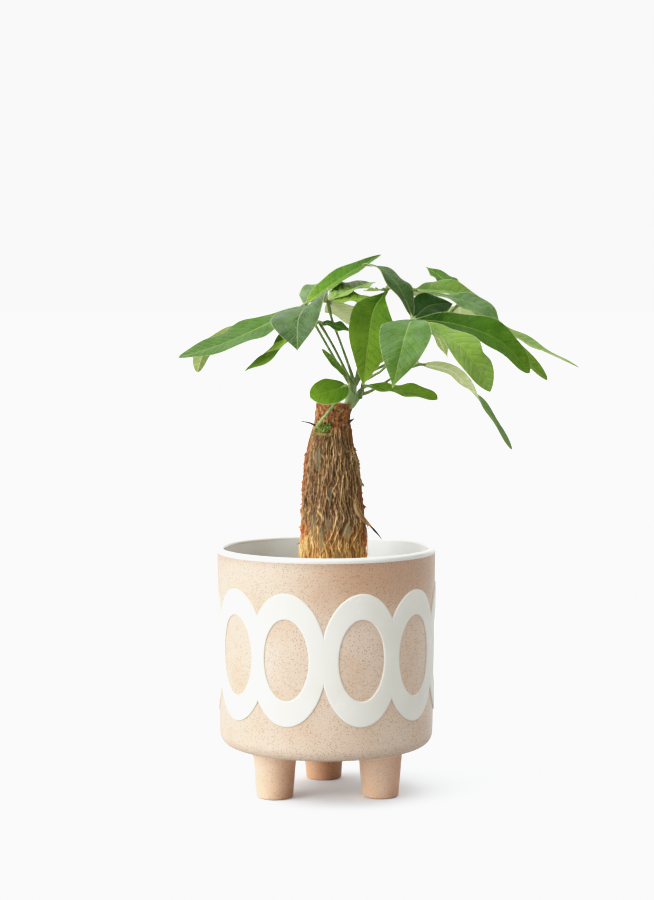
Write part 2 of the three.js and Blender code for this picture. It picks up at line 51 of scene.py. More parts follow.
# the nodes in use: Blender's kind, the inputs that the values go to in turn, and settings
nodeKinds = {
    "coordinates": ("TexCoord", (), {}),
    "attribute": ("Attribute", (), {}),
    "geometry": ("NewGeometry", (), {}),
    "lightPath": ("LightPath", (), {}),
    "split": ("SeparateXYZ", (0,), {}),
    "ramp": ("ValToRGB", (0,), {}),
    "stretch": ("Mapping", ("Vector", "Scale"), {}),
    "noise": ("TexNoise", ("Vector", "Scale", "Detail", "Roughness", "Distortion"), {}),
    "cells": ("TexVoronoi", ("Vector", "Scale"), {}),
    "cellEdges": ("TexVoronoi", ("Vector", "Scale"), {"feature": "DISTANCE_TO_EDGE"}),
    "range": ("MapRange", range(5), {}),
    "softRange": ("MapRange", range(5), {"interpolation_type": "SMOOTHSTEP"}),
    "blend": ("Mix", (0, 6, 7), {"data_type": "RGBA"}),
    "overlay": ("Mix", (0, 6, 7), {"data_type": "RGBA", "blend_type": "OVERLAY"}),
    "tinge": ("Mix", (0, 6, 7), {"data_type": "RGBA", "blend_type": "MULTIPLY"}),
    "bump": ("Bump", ("Height", "Strength", "Distance"), {}),
    "surface": ("BsdfPrincipled", ("Base Color", "Roughness", "Normal", "IOR", "Specular IOR Level"), {}),
    "dull": ("BsdfDiffuse", ("Color",), {}),
    "letThrough": ("BsdfTranslucent", ("Color", "Normal"), {}),
    "glow": ("Emission", ("Color", "Strength"), {}),
    "sky": ("Background", ("Color", "Strength"), {}),
    "mixShaders": ("MixShader", range(3), {}),
    "addShaders": ("AddShader", range(2), {}),
    "output": ("OutputMaterial", ("Surface",), {}),
    "worldOutput": ("OutputWorld", ("Surface",), {}),
}
for operation in ("ADD", "SUBTRACT", "MULTIPLY", "DIVIDE", "MULTIPLY_ADD", "MAXIMUM", "ABSOLUTE", "SIGN",
                  "FRACT"):
    nodeKinds[operation] = ("Math", range(3), {"operation": operation})


def colour(hexValue):
    # sRGB hex to the linear numbers that a shader takes
    parts = [int(hexValue[i:i + 2], 16) / 255 for i in (1, 3, 5)]
    return tuple(p / 12.92 if p <= 0.04045 else ((p + 0.055) / 1.055) ** 2.4 for p in parts) + (1.0,)


def emptyTree(tree):
    # clears the tree and gives the function that adds a node to it
    tree.nodes.clear()

    def add(name, *values, **settings):
        # a value is a number, a hex colour, a node or one of its outputs; None leaves an input as it is
        kind, inputs, fixed = nodeKinds[name]
        node = tree.nodes.new("ShaderNode" + kind)
        for key, value in {**fixed, **settings}.items():
            setattr(node, key, value)
        for key, value in zip(inputs, values):
            if isinstance(value, bpy.types.Node):
                value = next(output for output in value.outputs if output.enabled)
            if isinstance(value, bpy.types.NodeSocket):
                tree.links.new(value, node.inputs[key])
            elif value is not None:
                node.inputs[key].default_value = colour(value) if isinstance(value, str) else value
        return node

    return add


def newMaterial(name):
    # a material, the function that adds its nodes, and the place on the piece that patterns start from
    material = bpy.data.materials.new(name)
    material.use_nodes = True
    add = emptyTree(material.node_tree)
    return material, add, add("coordinates").outputs["Object"]


def scaleOf(size):
    # pattern scale for a feature this many millimetres across
    return 1 / (size * mm)


def addStretched(add, where, across, upward, detail, rough, distort=None):
    # noise drawn out along the height: millimetres across and up
    drawn = add("stretch", where, (scaleOf(across), scaleOf(across), scaleOf(upward)))
    return add("noise", drawn, 1.0, detail, rough, distort)


def setRamp(ramp, stops):
    # the colours along a ramp: (place, hex)
    elements = ramp.color_ramp.elements
    while len(elements) < len(stops):
        elements.new(0.5)
    for element, (place, tint) in zip(elements, stops):
        element.position = place
        element.color = colour(tint)
    return ramp


def addTraits(add, name):
    # the three numbers that a piece keeps at each point
    return add("split", add("attribute", attribute_name=name).outputs["Vector"]).outputs


def addSurface(add, body, rough, relief, refraction=None, shine=None):
    # the surface over its relief: heights, strength and depth in millimetres
    heights, strength, depth = relief
    add("output", add("surface", body, rough, add("bump", heights, strength, depth * mm), refraction, shine))


def addObject(name, data):
    thing = bpy.data.objects.new(name, data)
    bpy.context.scene.collection.objects.link(thing)
    return thing


def smoothstep(low, high, x):
    t = np.clip((np.asarray(x, float) - low) / (high - low), 0.0, 1.0)
    return t * t * (3 - 2 * t)


def fullTurn(count):
    return np.linspace(0, 2 * math.pi, count, endpoint=False)


def circle(radius, z, turn, middle=(0.0, 0.0)):
    return np.stack([middle[0] + radius * np.cos(turn), middle[1] + radius * np.sin(turn),
                     np.full(len(turn), z)], axis=1)


def gridFaces(rows, columns, closed=False, start=0):
    # quads between rows of points; closed joins the last column to the first
    faces = []
    for i in range(rows - 1):
        for j in range(columns if closed else columns - 1):
            k = (j + 1) % columns
            faces.append((start + i * columns + j, start + i * columns + k,
                          start + (i + 1) * columns + k, start + (i + 1) * columns + j))
    return faces


def closedFaces(rows, columns):
    # rows of points closed round, with a fan at each end; the two end points come after all the rows
    low, last = rows * columns, (rows - 1) * columns
    faces = gridFaces(rows, columns, True)
    faces += [(low, (j + 1) % columns, j) for j in range(columns)]
    faces += [(low + 1, last + j, last + (j + 1) % columns) for j in range(columns)]
    return faces


class Build:
    # collects the points, faces and face materials of one piece, in millimetres from the pot's axis
    def __init__(self):
        self.points = []
        self.faces = []
        self.kinds = []
        self.values = {}

    def add(self, points, faces, kind=0, **values):
        start = len(self.points)
        self.points.extend([tuple(p) for p in np.asarray(points, float)])
        self.faces.extend([tuple(start + i for i in face) for face in faces])
        self.kinds.extend([kind] * len(faces) if isinstance(kind, int) else list(kind))
        for name, value in values.items():
            kept = self.values.setdefault(name, [])
            kept.extend([(0.0,) * len(value[0])] * (start - len(kept)))
            kept.extend([tuple(v) for v in value])

    def make(self, name, materials, sharp):
        mesh = bpy.data.meshes.new(name)
        places = np.array(self.points) * mm + potAxis
        mesh.from_pydata(places.tolist(), [], self.faces)
        for material in materials:
            mesh.materials.append(material)
        mesh.polygons.foreach_set("material_index", self.kinds)
        mesh.polygons.foreach_set("use_smooth", [True] * len(self.faces))
        for key, value in self.values.items():
            size = len(value[0])
            value = value + [(0.0,) * size] * (len(self.points) - len(value))
            layer = mesh.attributes.new(key, "FLOAT" if size == 1 else "FLOAT_VECTOR", "POINT")
            layer.data.foreach_set("value" if size == 1 else "vector", np.array(value, float).ravel())
        mesh.validate()
        mesh.update()
        mesh.set_sharp_from_angle(angle=math.radians(sharp))
        return addObject(name, mesh)


def finishPiece(piece, slotName, *nodes):
    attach(piece, "root")
    if nodes:
        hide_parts(*nodes)


def between(before, a, b, after, t, tension):
    # a smooth way from a to b, with an eye to the points before and after
    m0, m1 = tension * (b - before), tension * (after - a)
    return ((2 * t**3 - 3 * t**2 + 1) * a + (t**3 - 2 * t**2 + t) * m0
            + (3 * t**2 - 2 * t**3) * b + (t**3 - t**2) * m1)


def withEnds(table):
    # one more row before the first and after the last, in the same direction
    return np.vstack([2 * table[0] - table[1], table, 2 * table[-1] - table[-2]])


def smoothCurve(points, count):
    # points evenly spaced along a smooth curve through the given ones, with their directions
    points = np.asarray(points, float)
    ends = withEnds(points)
    dense = []
    for i in range(1, len(ends) - 2):
        dense += [between(*ends[i - 1:i + 3], t, 0.5) for t in np.linspace(0, 1, 60, endpoint=False)]
    dense = np.array(dense + [points[-1]])
    gone = np.concatenate([[0], np.cumsum(np.linalg.norm(np.diff(dense, axis=0), axis=1))])
    wanted = np.linspace(0, gone[-1], count)
    placed = np.stack([np.interp(wanted, gone, dense[:, k]) for k in range(3)], axis=1)
    heading = np.gradient(placed, axis=0)
    heading /= np.linalg.norm(heading, axis=1)[:, None]
    return placed, heading, gone[-1]


def readEvenly(values, count):
    return np.interp(np.linspace(0, 1, count), np.linspace(0, 1, len(values)), values)


def tube(build, points, radii, sides, kind, steps, **values):
    # a closed round tube along a smooth curve; radii are read evenly along it
    centres, heading, _ = smoothCurve(points, steps + 1)
    turn = fullTurn(sides)
    aside = np.cross(heading[0], [0.3, 1.0, 0.2])
    rows = []
    for centre, along, r in zip(centres, heading, readEvenly(radii, steps + 1)):
        aside = aside - along * aside.dot(along)
        aside /= np.linalg.norm(aside)
        other = np.cross(along, aside)
        rows.append(centre + r * (np.outer(np.cos(turn), aside) + np.outer(np.sin(turn), other)))
    points = np.vstack(rows + [centres[:1], centres[-1:]])
    spread = {name: [value] * len(points) for name, value in values.items()}
    build.add(points, closedFaces(steps + 1, sides), kind, **spread)


# Found by fitting the pot's rim, bottom edge and feet in the photograph.
cameraPlace = {"distance": 1565, "height": 342.2, "right": 0.5, "tiltDown": 3.91, "lens": 91.74}
lightPlan = {
    "softboxes": [  # where each stands, how wide it looks in degrees, strength
        ((-0.82, -0.57, 0.45), 56, 1.05), ((-0.9, -0.3, 0.6), 50, 1.7), ((-0.87, -0.57, 0.05), 56, 1.6),
    ],
    # where the room begins to brighten, where it is full, and how bright: left, above and behind
    "sides": [("X", -0.2, -0.85, 1.25), ("Z", 0.35, 0.95, 2.35), ("Y", 0.45, 0.9, 1.8)],
    "daylight": (1.0, 0.995, 0.985, 1.0), "backdrop": 1.3, "floorReach": 40.0,
    "floorGlow": 0.13, "floorPaint": "#eef3f8", "floorBounce": "#aaaaaa",
}
# how bright places roll off, as on film: light in and light shown; white paper ends at 250 of 255
filmCurve = {
    "white": 1.4,
    "points": [(0, 0), (0.2, 0.2), (0.5, 0.49), (0.8, 0.73), (1.0, 0.85), (1.2, 0.925), (1.4, 0.955)],
}


def addCamera():
    data = bpy.data.cameras.new("camera")
    data.sensor_width = 36
    data.lens = cameraPlace["lens"]
    data.clip_start, data.clip_end = 0.05, 50
    camera = addObject("camera", data)
    camera.location = (potAxis[0] + cameraPlace["right"] * mm, potAxis[1] - cameraPlace["distance"] * mm,
                       cameraPlace["height"] * mm)
    camera.rotation_euler = (math.radians(90 - cameraPlace["tiltDown"]), 0, 0)
    bpy.context.scene.camera = camera


def addSoftboxes():
    # very wide, soft and far off, all on the left: high, level and more to the front
    for place, spread, strength in lightPlan["softboxes"]:
        data = bpy.data.lights.new("softbox", "SUN")
        data.energy = strength
        data.angle = math.radians(spread)
        light = addObject("softbox", data)
        light.rotation_euler = (-Vector(place)).to_track_quat("-Z", "Y").to_euler()


def addWorld():
    # a large white window on the left, a pale ceiling, a white sweep behind and a dark room elsewhere
    world = bpy.data.worlds.new("studio")
    world.use_nodes = True
    add = emptyTree(world.node_tree)
    split = add("split", add("coordinates").outputs["Generated"])
    total = 0.0
    for axis, low, high, bright in lightPlan["sides"]:
        total = add("ADD", add("softRange", split.outputs[axis], low, high, 0.0, bright), total)
    seen = add("lightPath").outputs["Is Camera Ray"]
    light, shown = add("sky", lightPlan["daylight"], total), add("sky", "#ffffff", lightPlan["backdrop"])
    add("worldOutput", add("mixShaders", seen, light, shown))
    bpy.context.scene.world = world


def addFloor():
    # White acrylic sheet lit from below: it looks evenly white and takes only pale, soft shadows.
    material, add, _ = newMaterial("back_lit_white_acrylic")
    seen = add("lightPath").outputs["Is Camera Ray"]
    paint = add("dull", add("blend", seen, lightPlan["floorBounce"], lightPlan["floorPaint"]))
    glow = add("glow", "#ffffff", add("MULTIPLY", seen, lightPlan["floorGlow"]))
    add("output", add("addShaders", paint, glow))
    mesh = bpy.data.meshes.new("floor")
    reach = lightPlan["floorReach"]
    mesh.from_pydata([(-reach, -reach, 0), (reach, -reach, 0), (reach, reach, 0), (-reach, reach, 0)],
                     [], [(0, 1, 2, 3)])
    mesh.materials.append(material)
    floor = addObject("floor", mesh)


def setFilmCurve():
    view = bpy.context.scene.view_settings
    view.view_transform = "Standard"
    view.use_curve_mapping = True
    view.curve_mapping.white_level = (filmCurve["white"],) * 3
    view.curve_mapping.extend = "HORIZONTAL"
    line = view.curve_mapping.curves[3]
    points = [(light / filmCurve["white"], shown) for light, shown in filmCurve["points"]]
    line.points[0].location = points[0]
    line.points[1].location = points[-1]
    for point in points[1:-1]:
        line.points.new(*point)
    view.curve_mapping.update()


addCamera()
addSoftboxes()
addWorld()
addFloor()
setFilmCurve()
print("camera, lights and floor set")

pot = {
    "radius": 75, "footRadius": 73.3, "top": 169, "bottom": 33, "wall": 4.8, "floor": 41,
    "outerRound": 9, "innerRound": 8, "sides": 192,
    "lipBand": 3.4, "glazeStep": 0.12,
}
foot = {
    "ring": 41.5, "turn": 2.5, "topRadius": 15.5, "bottomRadius": 12.5, "edge": 1.6, "sink": 2, "sides": 72,
}
potGlaze = {
    "clay": "#d2b9a1", "clayWarm": "#ccad92", "clayPale": "#d6c0ac",
    "white": "#f4faf8", "whiteWarm": "#f0f7f4", "whitePale": "#f8fcfb",
    "lip": "#e0e0da", "lipWarm": "#dad9d0", "lipPale": "#e7e7e2",
    "foot": "#f2ceb0", "footWarm": "#eab88e", "footPale": "#f5dac2",
    "speck": "#6b4a30", "speckPale": "#85634a", "whiteSpeck": "#b4b5ae", "footSpeck": "#85522f",
    # the last two: painted shade, brown, and painted warm bounce light, orange
    "paintedShadeBrown": "#ae7f55", "paintedWarmBounce": "#f3a468",
}
# gap between specks, the largest speck, and how soft its edge is
speckSizes = {"coarse": (0.92, 0.8, 0.12), "fine": (0.68, 0.56, 0.2)}
# painted light marks, painted shade below the rim and painted warm bounce on the feet: from where to where,
# in metres or share of the way round, and how strong at each
paintedLightMarks = {
    "paintedShadeHigh": (0.112, 0.158, 0.0, 0.75), "paintedShadeRight": (-0.075, -0.012, 0.0, 1.0),
    "paintedBounceRear": (-0.02, 0.02, 0.0, 0.6), "paintedBounceFlank": (-0.1, 0.9, 0.0, 0.42),
}
stonewareLooks = [  # tints, colour of the specks, roughness, and how strongly the specks show
    ("peach_glazed_stoneware", "clay", "speck", 0.22, 0.8),
    ("white_glazed_stoneware", "white", "whiteSpeck", 0.18, 0.16),
    ("bare_stoneware_foot", "foot", "footSpeck", 0.5, 0.5),
    ("white_glazed_lip", "lip", "whiteSpeck", 0.16, 0.14),
]


def addSpecks(add, where, gap, size, soft):
    # one speck in most cells of a cell pattern; its own random number sets how large it is
    cells = add("cells", where, scaleOf(gap))
    reach = add("range", add("split", cells.outputs["Color"]), -0.3, 1.0, 0.0, size / gap / 2)
    return add("range", add("SUBTRACT", reach, cells.outputs["Distance"]), 0.0, soft, 0.0, 1.0)


def stonewareMaterials():
    # Stoneware thrown with iron-bearing grit, under a clear satin glaze: peach with fine brown specks.
    made = []
    for name, tints, speck, rough, strength in stonewareLooks:
        material, add, where = newMaterial(name)
        cloud = add("noise", where, scaleOf(30), 2.0, 0.5)
        body = setRamp(add("ramp", cloud), [(0.25, potGlaze[tints + "Warm"]), (0.5, potGlaze[tints]),
                                            (0.75, potGlaze[tints + "Pale"])])
        if tints == "clay":
            # painted shade: a little browner below the rim, to the front right, where the leaves' shadow
            # falls
            split = add("split", where)
            high = add("softRange", split.outputs["Z"], *paintedLightMarks["paintedShadeHigh"])
            aside = add("softRange", split.outputs["X"], *paintedLightMarks["paintedShadeRight"])
            body = add("blend", add("MULTIPLY", high, aside), body, potGlaze["paintedShadeBrown"])
        if tints == "foot":
            # painted warm bounce light, orange: on the rear foot, in shade under the pot, and on the right
            # side of the front ones, turned from the light
            rear = add("range", add("split", where).outputs["Y"], *paintedLightMarks["paintedBounceRear"])
            facing = add("split", add("geometry").outputs["Normal"])
            flank = add("softRange", facing.outputs["X"], *paintedLightMarks["paintedBounceFlank"])
            body = add("blend", add("MAXIMUM", rear, flank), body, potGlaze["paintedWarmBounce"])
        weak = add("MULTIPLY", addSpecks(add, where, *speckSizes["fine"]), 0.65 * strength)
        strong = add("MULTIPLY", addSpecks(add, where, *speckSizes["coarse"]), strength)
        body = add("blend", strong, add("blend", weak, body, potGlaze["speckPale"]), potGlaze[speck])
        # the glaze lies a little uneven, in waves about 9 mm wide
        swell = add("noise", where, scaleOf(9), 2.0, 0.5)
        grit = add("noise", where, scaleOf(0.7), 2.0)
        heights = add("MULTIPLY_ADD", grit, 0.08 if rough < 0.4 else 0.35, swell)
        gloss = add("range", cloud, 0.3, 0.7, rough - 0.04, rough + 0.05)
        addSurface(add, body, gloss, (heights, 0.3, 0.25), 1.78)
        made.append(material)
    return made


def wallRadius(z):
    share = (np.asarray(z, float) - pot["bottom"]) / (pot["top"] - pot["bottom"])
    return pot["footRadius"] + (pot["radius"] - pot["footRadius"]) * share


def arc(x, z, radius, start, end, steps):
    angles = [math.radians(start + (end - start) * i / steps) for i in range(steps + 1)]
    return [(x + radius * math.cos(a), z + radius * math.sin(a)) for a in angles]


def addTurned(build, profile, kinds, sides, middle=(0.0, 0.0)):
    # turns a profile of (radius, height) round the axis; it starts and ends on the axis
    ring = profile[1:-1]
    ends = [[(*middle, profile[0][1])], [(*middle, profile[-1][1])]]
    points = np.vstack([circle(r, z, fullTurn(sides), middle) for r, z in ring] + ends)
    faceKinds = [kinds[1 + i // sides] for i in range((len(ring) - 1) * sides)]
    faceKinds += [kinds[0]] * sides + [kinds[-1]] * sides
    build.add(points, closedFaces(len(ring), sides), faceKinds)


def potProfile():
    # outside from the middle of the bottom up, over the lip and down inside; kinds name each stretch's glaze
    lip = pot["wall"] / 2
    insideLow = pot["footRadius"] - pot["wall"]
    lineAt = pot["top"] - pot["lipBand"]
    outer, inner = pot["outerRound"], pot["innerRound"]
    outside = [(0, pot["bottom"]), (20, pot["bottom"]), (45, pot["bottom"])]
    outside += arc(pot["footRadius"] - outer, pot["bottom"] + outer, outer, -90, 0, 16)
    outside += [(float(wallRadius(z)), z) for z in np.linspace(50, lineAt, 24)]
    over = [(float(wallRadius(lineAt)) + pot["glazeStep"], lineAt + 0.15)]
    rim = arc(pot["radius"] - lip, pot["top"] - lip, lip, 0, 180, 20)
    over += [(r + pot["glazeStep"] * (i < 10), z) for i, (r, z) in enumerate(rim)]
    down = [(float(wallRadius(z)) - pot["wall"], z) for z in np.linspace(160, 55, 12)]
    down += arc(insideLow - inner, pot["floor"] + inner, inner, 0, -90, 8)
    down += [(30, pot["floor"]), (0, pot["floor"])]
    return outside + over + down, [0] * (len(outside) - 1) + [3] * len(over) + [1] * len(down)


def footProfile():
    low, edge, widens = foot["bottomRadius"], foot["edge"], foot["topRadius"] - foot["bottomRadius"]
    return ([(0, 0), (low * 0.5, 0)] + arc(low - edge, edge, edge, -90, 0, 6)
            + [(low + widens * s, foot["sink"] + pot["bottom"] * s) for s in np.linspace(0.1, 1.0, 8)]
            + [(0, pot["bottom"] + foot["sink"])])


def joinWhole(base, others):
    # one closed skin from touching pieces
    for other in others:
        cut = base.modifiers.new("join", "BOOLEAN")
        cut.operation = "UNION"
        cut.solver = "EXACT"
        cut.object = other
    bpy.context.view_layer.update()
    done = bpy.data.meshes.new_from_object(base.evaluated_get(bpy.context.evaluated_depsgraph_get()))
    base.modifiers.clear()
    base.data = done
    for other in others:
        bpy.data.objects.remove(other)
    return base


def makePot():
    materials = stonewareMaterials()
    build = Build()
    addTurned(build, *potProfile(), pot["sides"])
    body = build.make("pot_glazed", materials, 60)
    feet = []
    for direction in (-150, -30, 90):
        angle = math.radians(direction + foot["turn"])
        build = Build()
        profile = footProfile()
        addTurned(build, profile, [2] * len(profile), foot["sides"],
                  (foot["ring"] * math.cos(angle), foot["ring"] * math.sin(angle)))
        feet.append(build.make("foot", materials, 60))
    body = joinWhole(body, feet)
    body.data.polygons.foreach_set("use_smooth", [True] * len(body.data.polygons))
    body.data.set_sharp_from_angle(angle=math.radians(40))
    finishPiece(body, "stoneware", "pot")
    print("pot made:", len(body.data.polygons), "faces")


makePot()

band = {
    "height": 101, "thickness": 0.75, "outer": (56.4, 89), "inner": (32, 54),
    "frontRings": [-54, -21.2, 18.7, 52.9], "backRings": 6, "round": 1.0, "sink": 0.12,
    "arcSteps": 30, "seamSteps": 28,
    "across": [0, 0.012, 0.03, 0.055, 0.09, 0.16, 0.3, 0.5, 0.7, 0.84, 0.91, 0.945, 0.97, 0.988, 1],
}
bandGlaze = {"cream": "#e4e4db", "creamWarm": "#dfded2", "thin": "#c2a586"}


def creamMaterial():
    # Opaque cream glaze laid on thickly: smooth and shiny, with the clay showing where it thins at its edges.
    material, add, where = newMaterial("thick_cream_glaze")
    cloud = add("noise", where, scaleOf(22), 3.0, 0.5)
    body = setRamp(add("ramp", cloud), [(0.35, bandGlaze["creamWarm"]), (0.65, bandGlaze["cream"])])
    depth = add("attribute", attribute_name="glazeDepth").outputs["Fac"]
    body = add("blend", add("range", depth, 0.0, 0.8, 0.9, 0.0), body, bandGlaze["thin"])
    swell = add("noise", where, scaleOf(7), 2.0, 0.4)
    addSurface(add, body, add("range", cloud, 0.3, 0.7, 0.2, 0.28), (swell, 0.3, 0.25), 1.54)
    return material


def ovalDepth(flat, size, shift=0.0):
    # how far points lie inside an oval, close to true near its edge
    x, z = flat[:, 0] + shift, flat[:, 1]
    a, b = size[0] / 2, size[1] / 2
    f = np.sqrt((x / a) ** 2 + (z / b) ** 2) + 1e-9
    slope = np.sqrt((x / a**2) ** 2 + (z / b**2) ** 2) / f
    return (1 - f) / np.maximum(slope, 1e-6)


def ringEdge(left, right):
    # the outline of one ring, cut straight where it meets the next ring on either side
    wide, tall = band["outer"][0] / 2, band["outer"][1] / 2
    edge = []
    leftTurn, rightTurn = math.asin(left / wide), math.asin(right / wide)
    for start, end, half, way in ((-leftTurn, rightTurn, right, 1),
                                  (math.pi - rightTurn, math.pi + leftTurn, left, -1)):
        edge += [(wide * math.sin(a), tall * math.cos(a))
                 for a in np.linspace(start, end, band["arcSteps"], endpoint=False)]
        top = way * tall * math.sqrt(1 - (half / wide) ** 2)
        edge += [(way * half, z) for z in np.linspace(top, -top, band["seamSteps"], endpoint=False)]
    return np.array(edge)


def makeBand():
    first, last = band["frontRings"][0], band["frontRings"][-1]
    step = (first + 360 - last) / (band["backRings"] + 1)
    turns = band["frontRings"] + [last + step * (i + 1) for i in range(band["backRings"])]
    build = Build()
    for k, turn in enumerate(turns):
        gaps = ((turn - turns[k - 1]) % 360, (turns[(k + 1) % len(turns)] - turn) % 360)
        left, right = (math.radians(gap) * pot["radius"] / 2 for gap in gaps)
        edge = ringEdge(left, right)
        count = len(edge)
        spoke = np.arctan2(edge[:, 0] / band["outer"][0], edge[:, 1] / band["outer"][1])
        hole = np.stack([band["inner"][0] / 2 * np.sin(spoke), band["inner"][1] / 2 * np.cos(spoke)], axis=1)
        sunk, bare = np.full(count, -band["sink"]), np.zeros(count)
        rows = [(edge, sunk)]
        depths = [bare]
        for share in band["across"]:
            flat = edge + (hole - edge) * share
            own = ovalDepth(flat, band["outer"])
            for shift in (2 * left, -2 * right):
                own = np.maximum(own, ovalDepth(flat, band["outer"], shift))
            near = np.clip(np.minimum(own, -ovalDepth(flat, band["inner"])) / band["round"], 0, 1)
            lift = np.sqrt(1 - (1 - near) ** 2)
            depths.append(lift)
            rows.append((flat, band["thickness"] * lift - 0.02))
        rows.append((hole, sunk))
        depths.append(bare)
        points = []
        for flat, lift in rows:
            z = band["height"] + flat[:, 1]
            angle = math.radians(turn) + flat[:, 0] / pot["radius"]
            r = wallRadius(z) + lift
            points.append(np.stack([r * np.sin(angle), -r * np.cos(angle), z], axis=1))
        # the seam shared with the next ring has no edge of its own
        onSeam = np.isclose(edge[:, 0], right) | np.isclose(edge[:, 0], -left)
        seam = [bool(onSeam[j] and onSeam[(j + 1) % count]) for j in range(count)]
        faces = [f for i, f in enumerate(gridFaces(len(rows), count, True)) if i >= count or not seam[i]]
        end = (len(rows) - 1) * count
        faces += [(end + j, end + (j + 1) % count, (j + 1) % count, j) for j in range(count)]
        build.add(np.vstack(points), faces, 0, glazeDepth=[(d,) for d in np.concatenate(depths)])
    piece = build.make("ring_band_glazed", [creamMaterial()], 60)
    finishPiece(piece, "cream_glaze", "ring_band")
    print("ring band made:", len(turns), "rings")


makeBand()

soil = {
    "top": 143, "mound": 4, "lump": 0.78, "rings": 60, "sides": 160, "lowRings": [20, 50, 60],
    "rise": (67, 52.0), "trunkAt": 4, "trunkRadius": 24.5, "clear": 2.5,
}
soilGrains = [  # material, how many, smallest and largest, and how flat: soil crumbs, bark chips, perlite
    (0, 900, 0.7, 2.4, 0.8), (1, 90, 1.4, 4.2, 0.35), (2, 60, 0.6, 1.5, 0.9),
]
soilLooks = [  # darkest and palest, roughness, grain
    ("moist_peat_soil", "#2a1d15", "#4b3525", 0.95, 1.6),
    ("shredded_bark_chip", "#4b3525", "#6e4a2f", 0.9, 2.4),
    ("perlite_grain", "#bdb7aa", "#d8d3c8", 0.85, 0.9),
]


def soilMaterials():
    # Peat-based potting soil: dull, crumbly, dark when moist, with shredded bark and white perlite in it.
    made = []
    for name, low, high, rough, grain in soilLooks:
        material, add, where = newMaterial(name)
        grainy = add("noise", where, scaleOf(grain), 6.0, 0.7)
        body = setRamp(add("ramp", grainy), [(0.35, low), (0.68, high)])
        addSurface(add, body, rough, (grainy, 0.9, 0.8), None, 0.25)
        made.append(material)
    return made


def soilHeight(x, y):
    lumps = (np.sin(x / 3.1) * np.cos(y / 2.7 + x / 9) + 0.6 * np.sin(x / 1.7 + 1.3) * np.sin(y / 1.9)
             + 0.35 * np.sin(x / 0.9 + y / 1.3) * np.cos(y / 0.8))
    return soil["top"] - soil["mound"] * (np.hypot(x, y) / pot["radius"]) ** 2 + soil["lump"] * lumps


def roundBall():
    # points and faces of a small ball
    ball = bpy.data.meshes.new("crumb")
    shape = bmesh.new()
    bmesh.ops.create_icosphere(shape, subdivisions=2, radius=1)
    shape.to_mesh(ball)
    shape.free()
    unit = np.array([v.co for v in ball.vertices])
    faces = [tuple(p.vertices) for p in ball.polygons]
    bpy.data.meshes.remove(ball)
    return unit, faces


def makeSoil():
    draw = np.random.default_rng(7)
    build = Build()
    wall = float(wallRadius(soil["top"])) - pot["wall"] - 0.1
    low = pot["floor"] + 0.3
    turn = fullTurn(soil["sides"])
    rows = [circle(r, low, turn) for r in soil["lowRings"]] + [circle(*soil["rise"], turn)]
    for r in np.linspace(wall, 1.2, soil["rings"]):
        row = circle(r, 0, turn)
        row[:, 2] = soilHeight(row[:, 0], row[:, 1])
        rows.append(row)
    points = np.vstack(rows + [[(0, 0, low)], [(0, 0, float(soilHeight(0.0, 0.0)))]])
    build.add(points, closedFaces(len(rows), len(turn)), 0)
    # crumbs, chips and perlite lie half sunk in the top
    unit, unitFaces = roundBall()
    for kind, number, small, large, flat in soilGrains:
        for _ in range(number):
            r = math.sqrt(draw.uniform(soil["trunkRadius"]**2, (wall - soil["clear"]) ** 2))
            a = draw.uniform(0, 2 * math.pi)
            x, y = soil["trunkAt"] + r * math.cos(a), r * math.sin(a)
            if math.hypot(x, y) > wall - soil["clear"]:
                continue
            size = draw.uniform(small, large)
            rough = 1 + 0.3 * np.sin(unit @ draw.uniform(-4, 4, 3) + draw.uniform(0, 6))
            stretch = np.array([1.0, draw.uniform(0.45, 0.95), flat * draw.uniform(0.6, 1.0)])
            spin = draw.uniform(0, 2 * math.pi)
            body = unit * rough[:, None] * stretch * size
            turned = np.stack([body[:, 0] * math.cos(spin) - body[:, 1] * math.sin(spin),
                               body[:, 0] * math.sin(spin) + body[:, 1] * math.cos(spin), body[:, 2]], axis=1)
            z = float(soilHeight(x, y)) + size * flat * 0.2
            build.add(turned + [x, y, z], unitFaces, kind)
    piece = build.make("potting_soil", soilMaterials(), 70)
    finishPiece(piece, "soil", "soil")
    print("soil made")


makeSoil()

trunkSections = [  # height, middle and radius
    (100.3, 4, 15), (104, 4, 20), (120, 4, 23.4), (143, 4, 23.6), (161, 4, 22.9), (184, 4.4, 22.2),
    (200, 4, 20.9), (216, 4, 19.7), (228, 3.6, 18.3), (241, 3.4, 15.2), (247, 3.7, 13.9), (252, 3.9, 12.6),
    (259, 4.3, 12), (264, 5.3, 12.6), (267.5, 5.9, 13.2),
]
bark = {
    "sides": 400, "rowStep": 0.65, "shownFrom": 138, "bulges": 9, "bulgeDepth": 0.75, "knots": 0.35,
    "fibreWide": 0.8, "girth": 138.0, "chanceRows": 64,
    "topShare": (0.45, 0.0, 0.0), "endShare": (0.4, 0.0, 0.0),
}
barkLines = [  # fibres: how many round the trunk, how far they stray in gaps, over what height, width, lift
    (27, 0.8, 19, 0.54, 0.8), (38, 0.95, 16, 0.48, 0.7), (50, 1.0, 13, 0.42, 0.6), (64, 1.0, 10, 0.4, 0.45),
    (96, 0.8, 7, 0.34, 0.3),
]
barkLook = {
    "groove": "#2a1a12", "middle": "#624329", "ridge": "#967348", "pale": "#d6b884", "grey": "#817d5c",
    "ochre": "#eed29e", "red": "#a8663f",
    "flakes": [(0.2, "#50301f"), (0.42, "#94532f"), (0.65, "#ad6e3e"), (0.9, "#d2a468")],
}
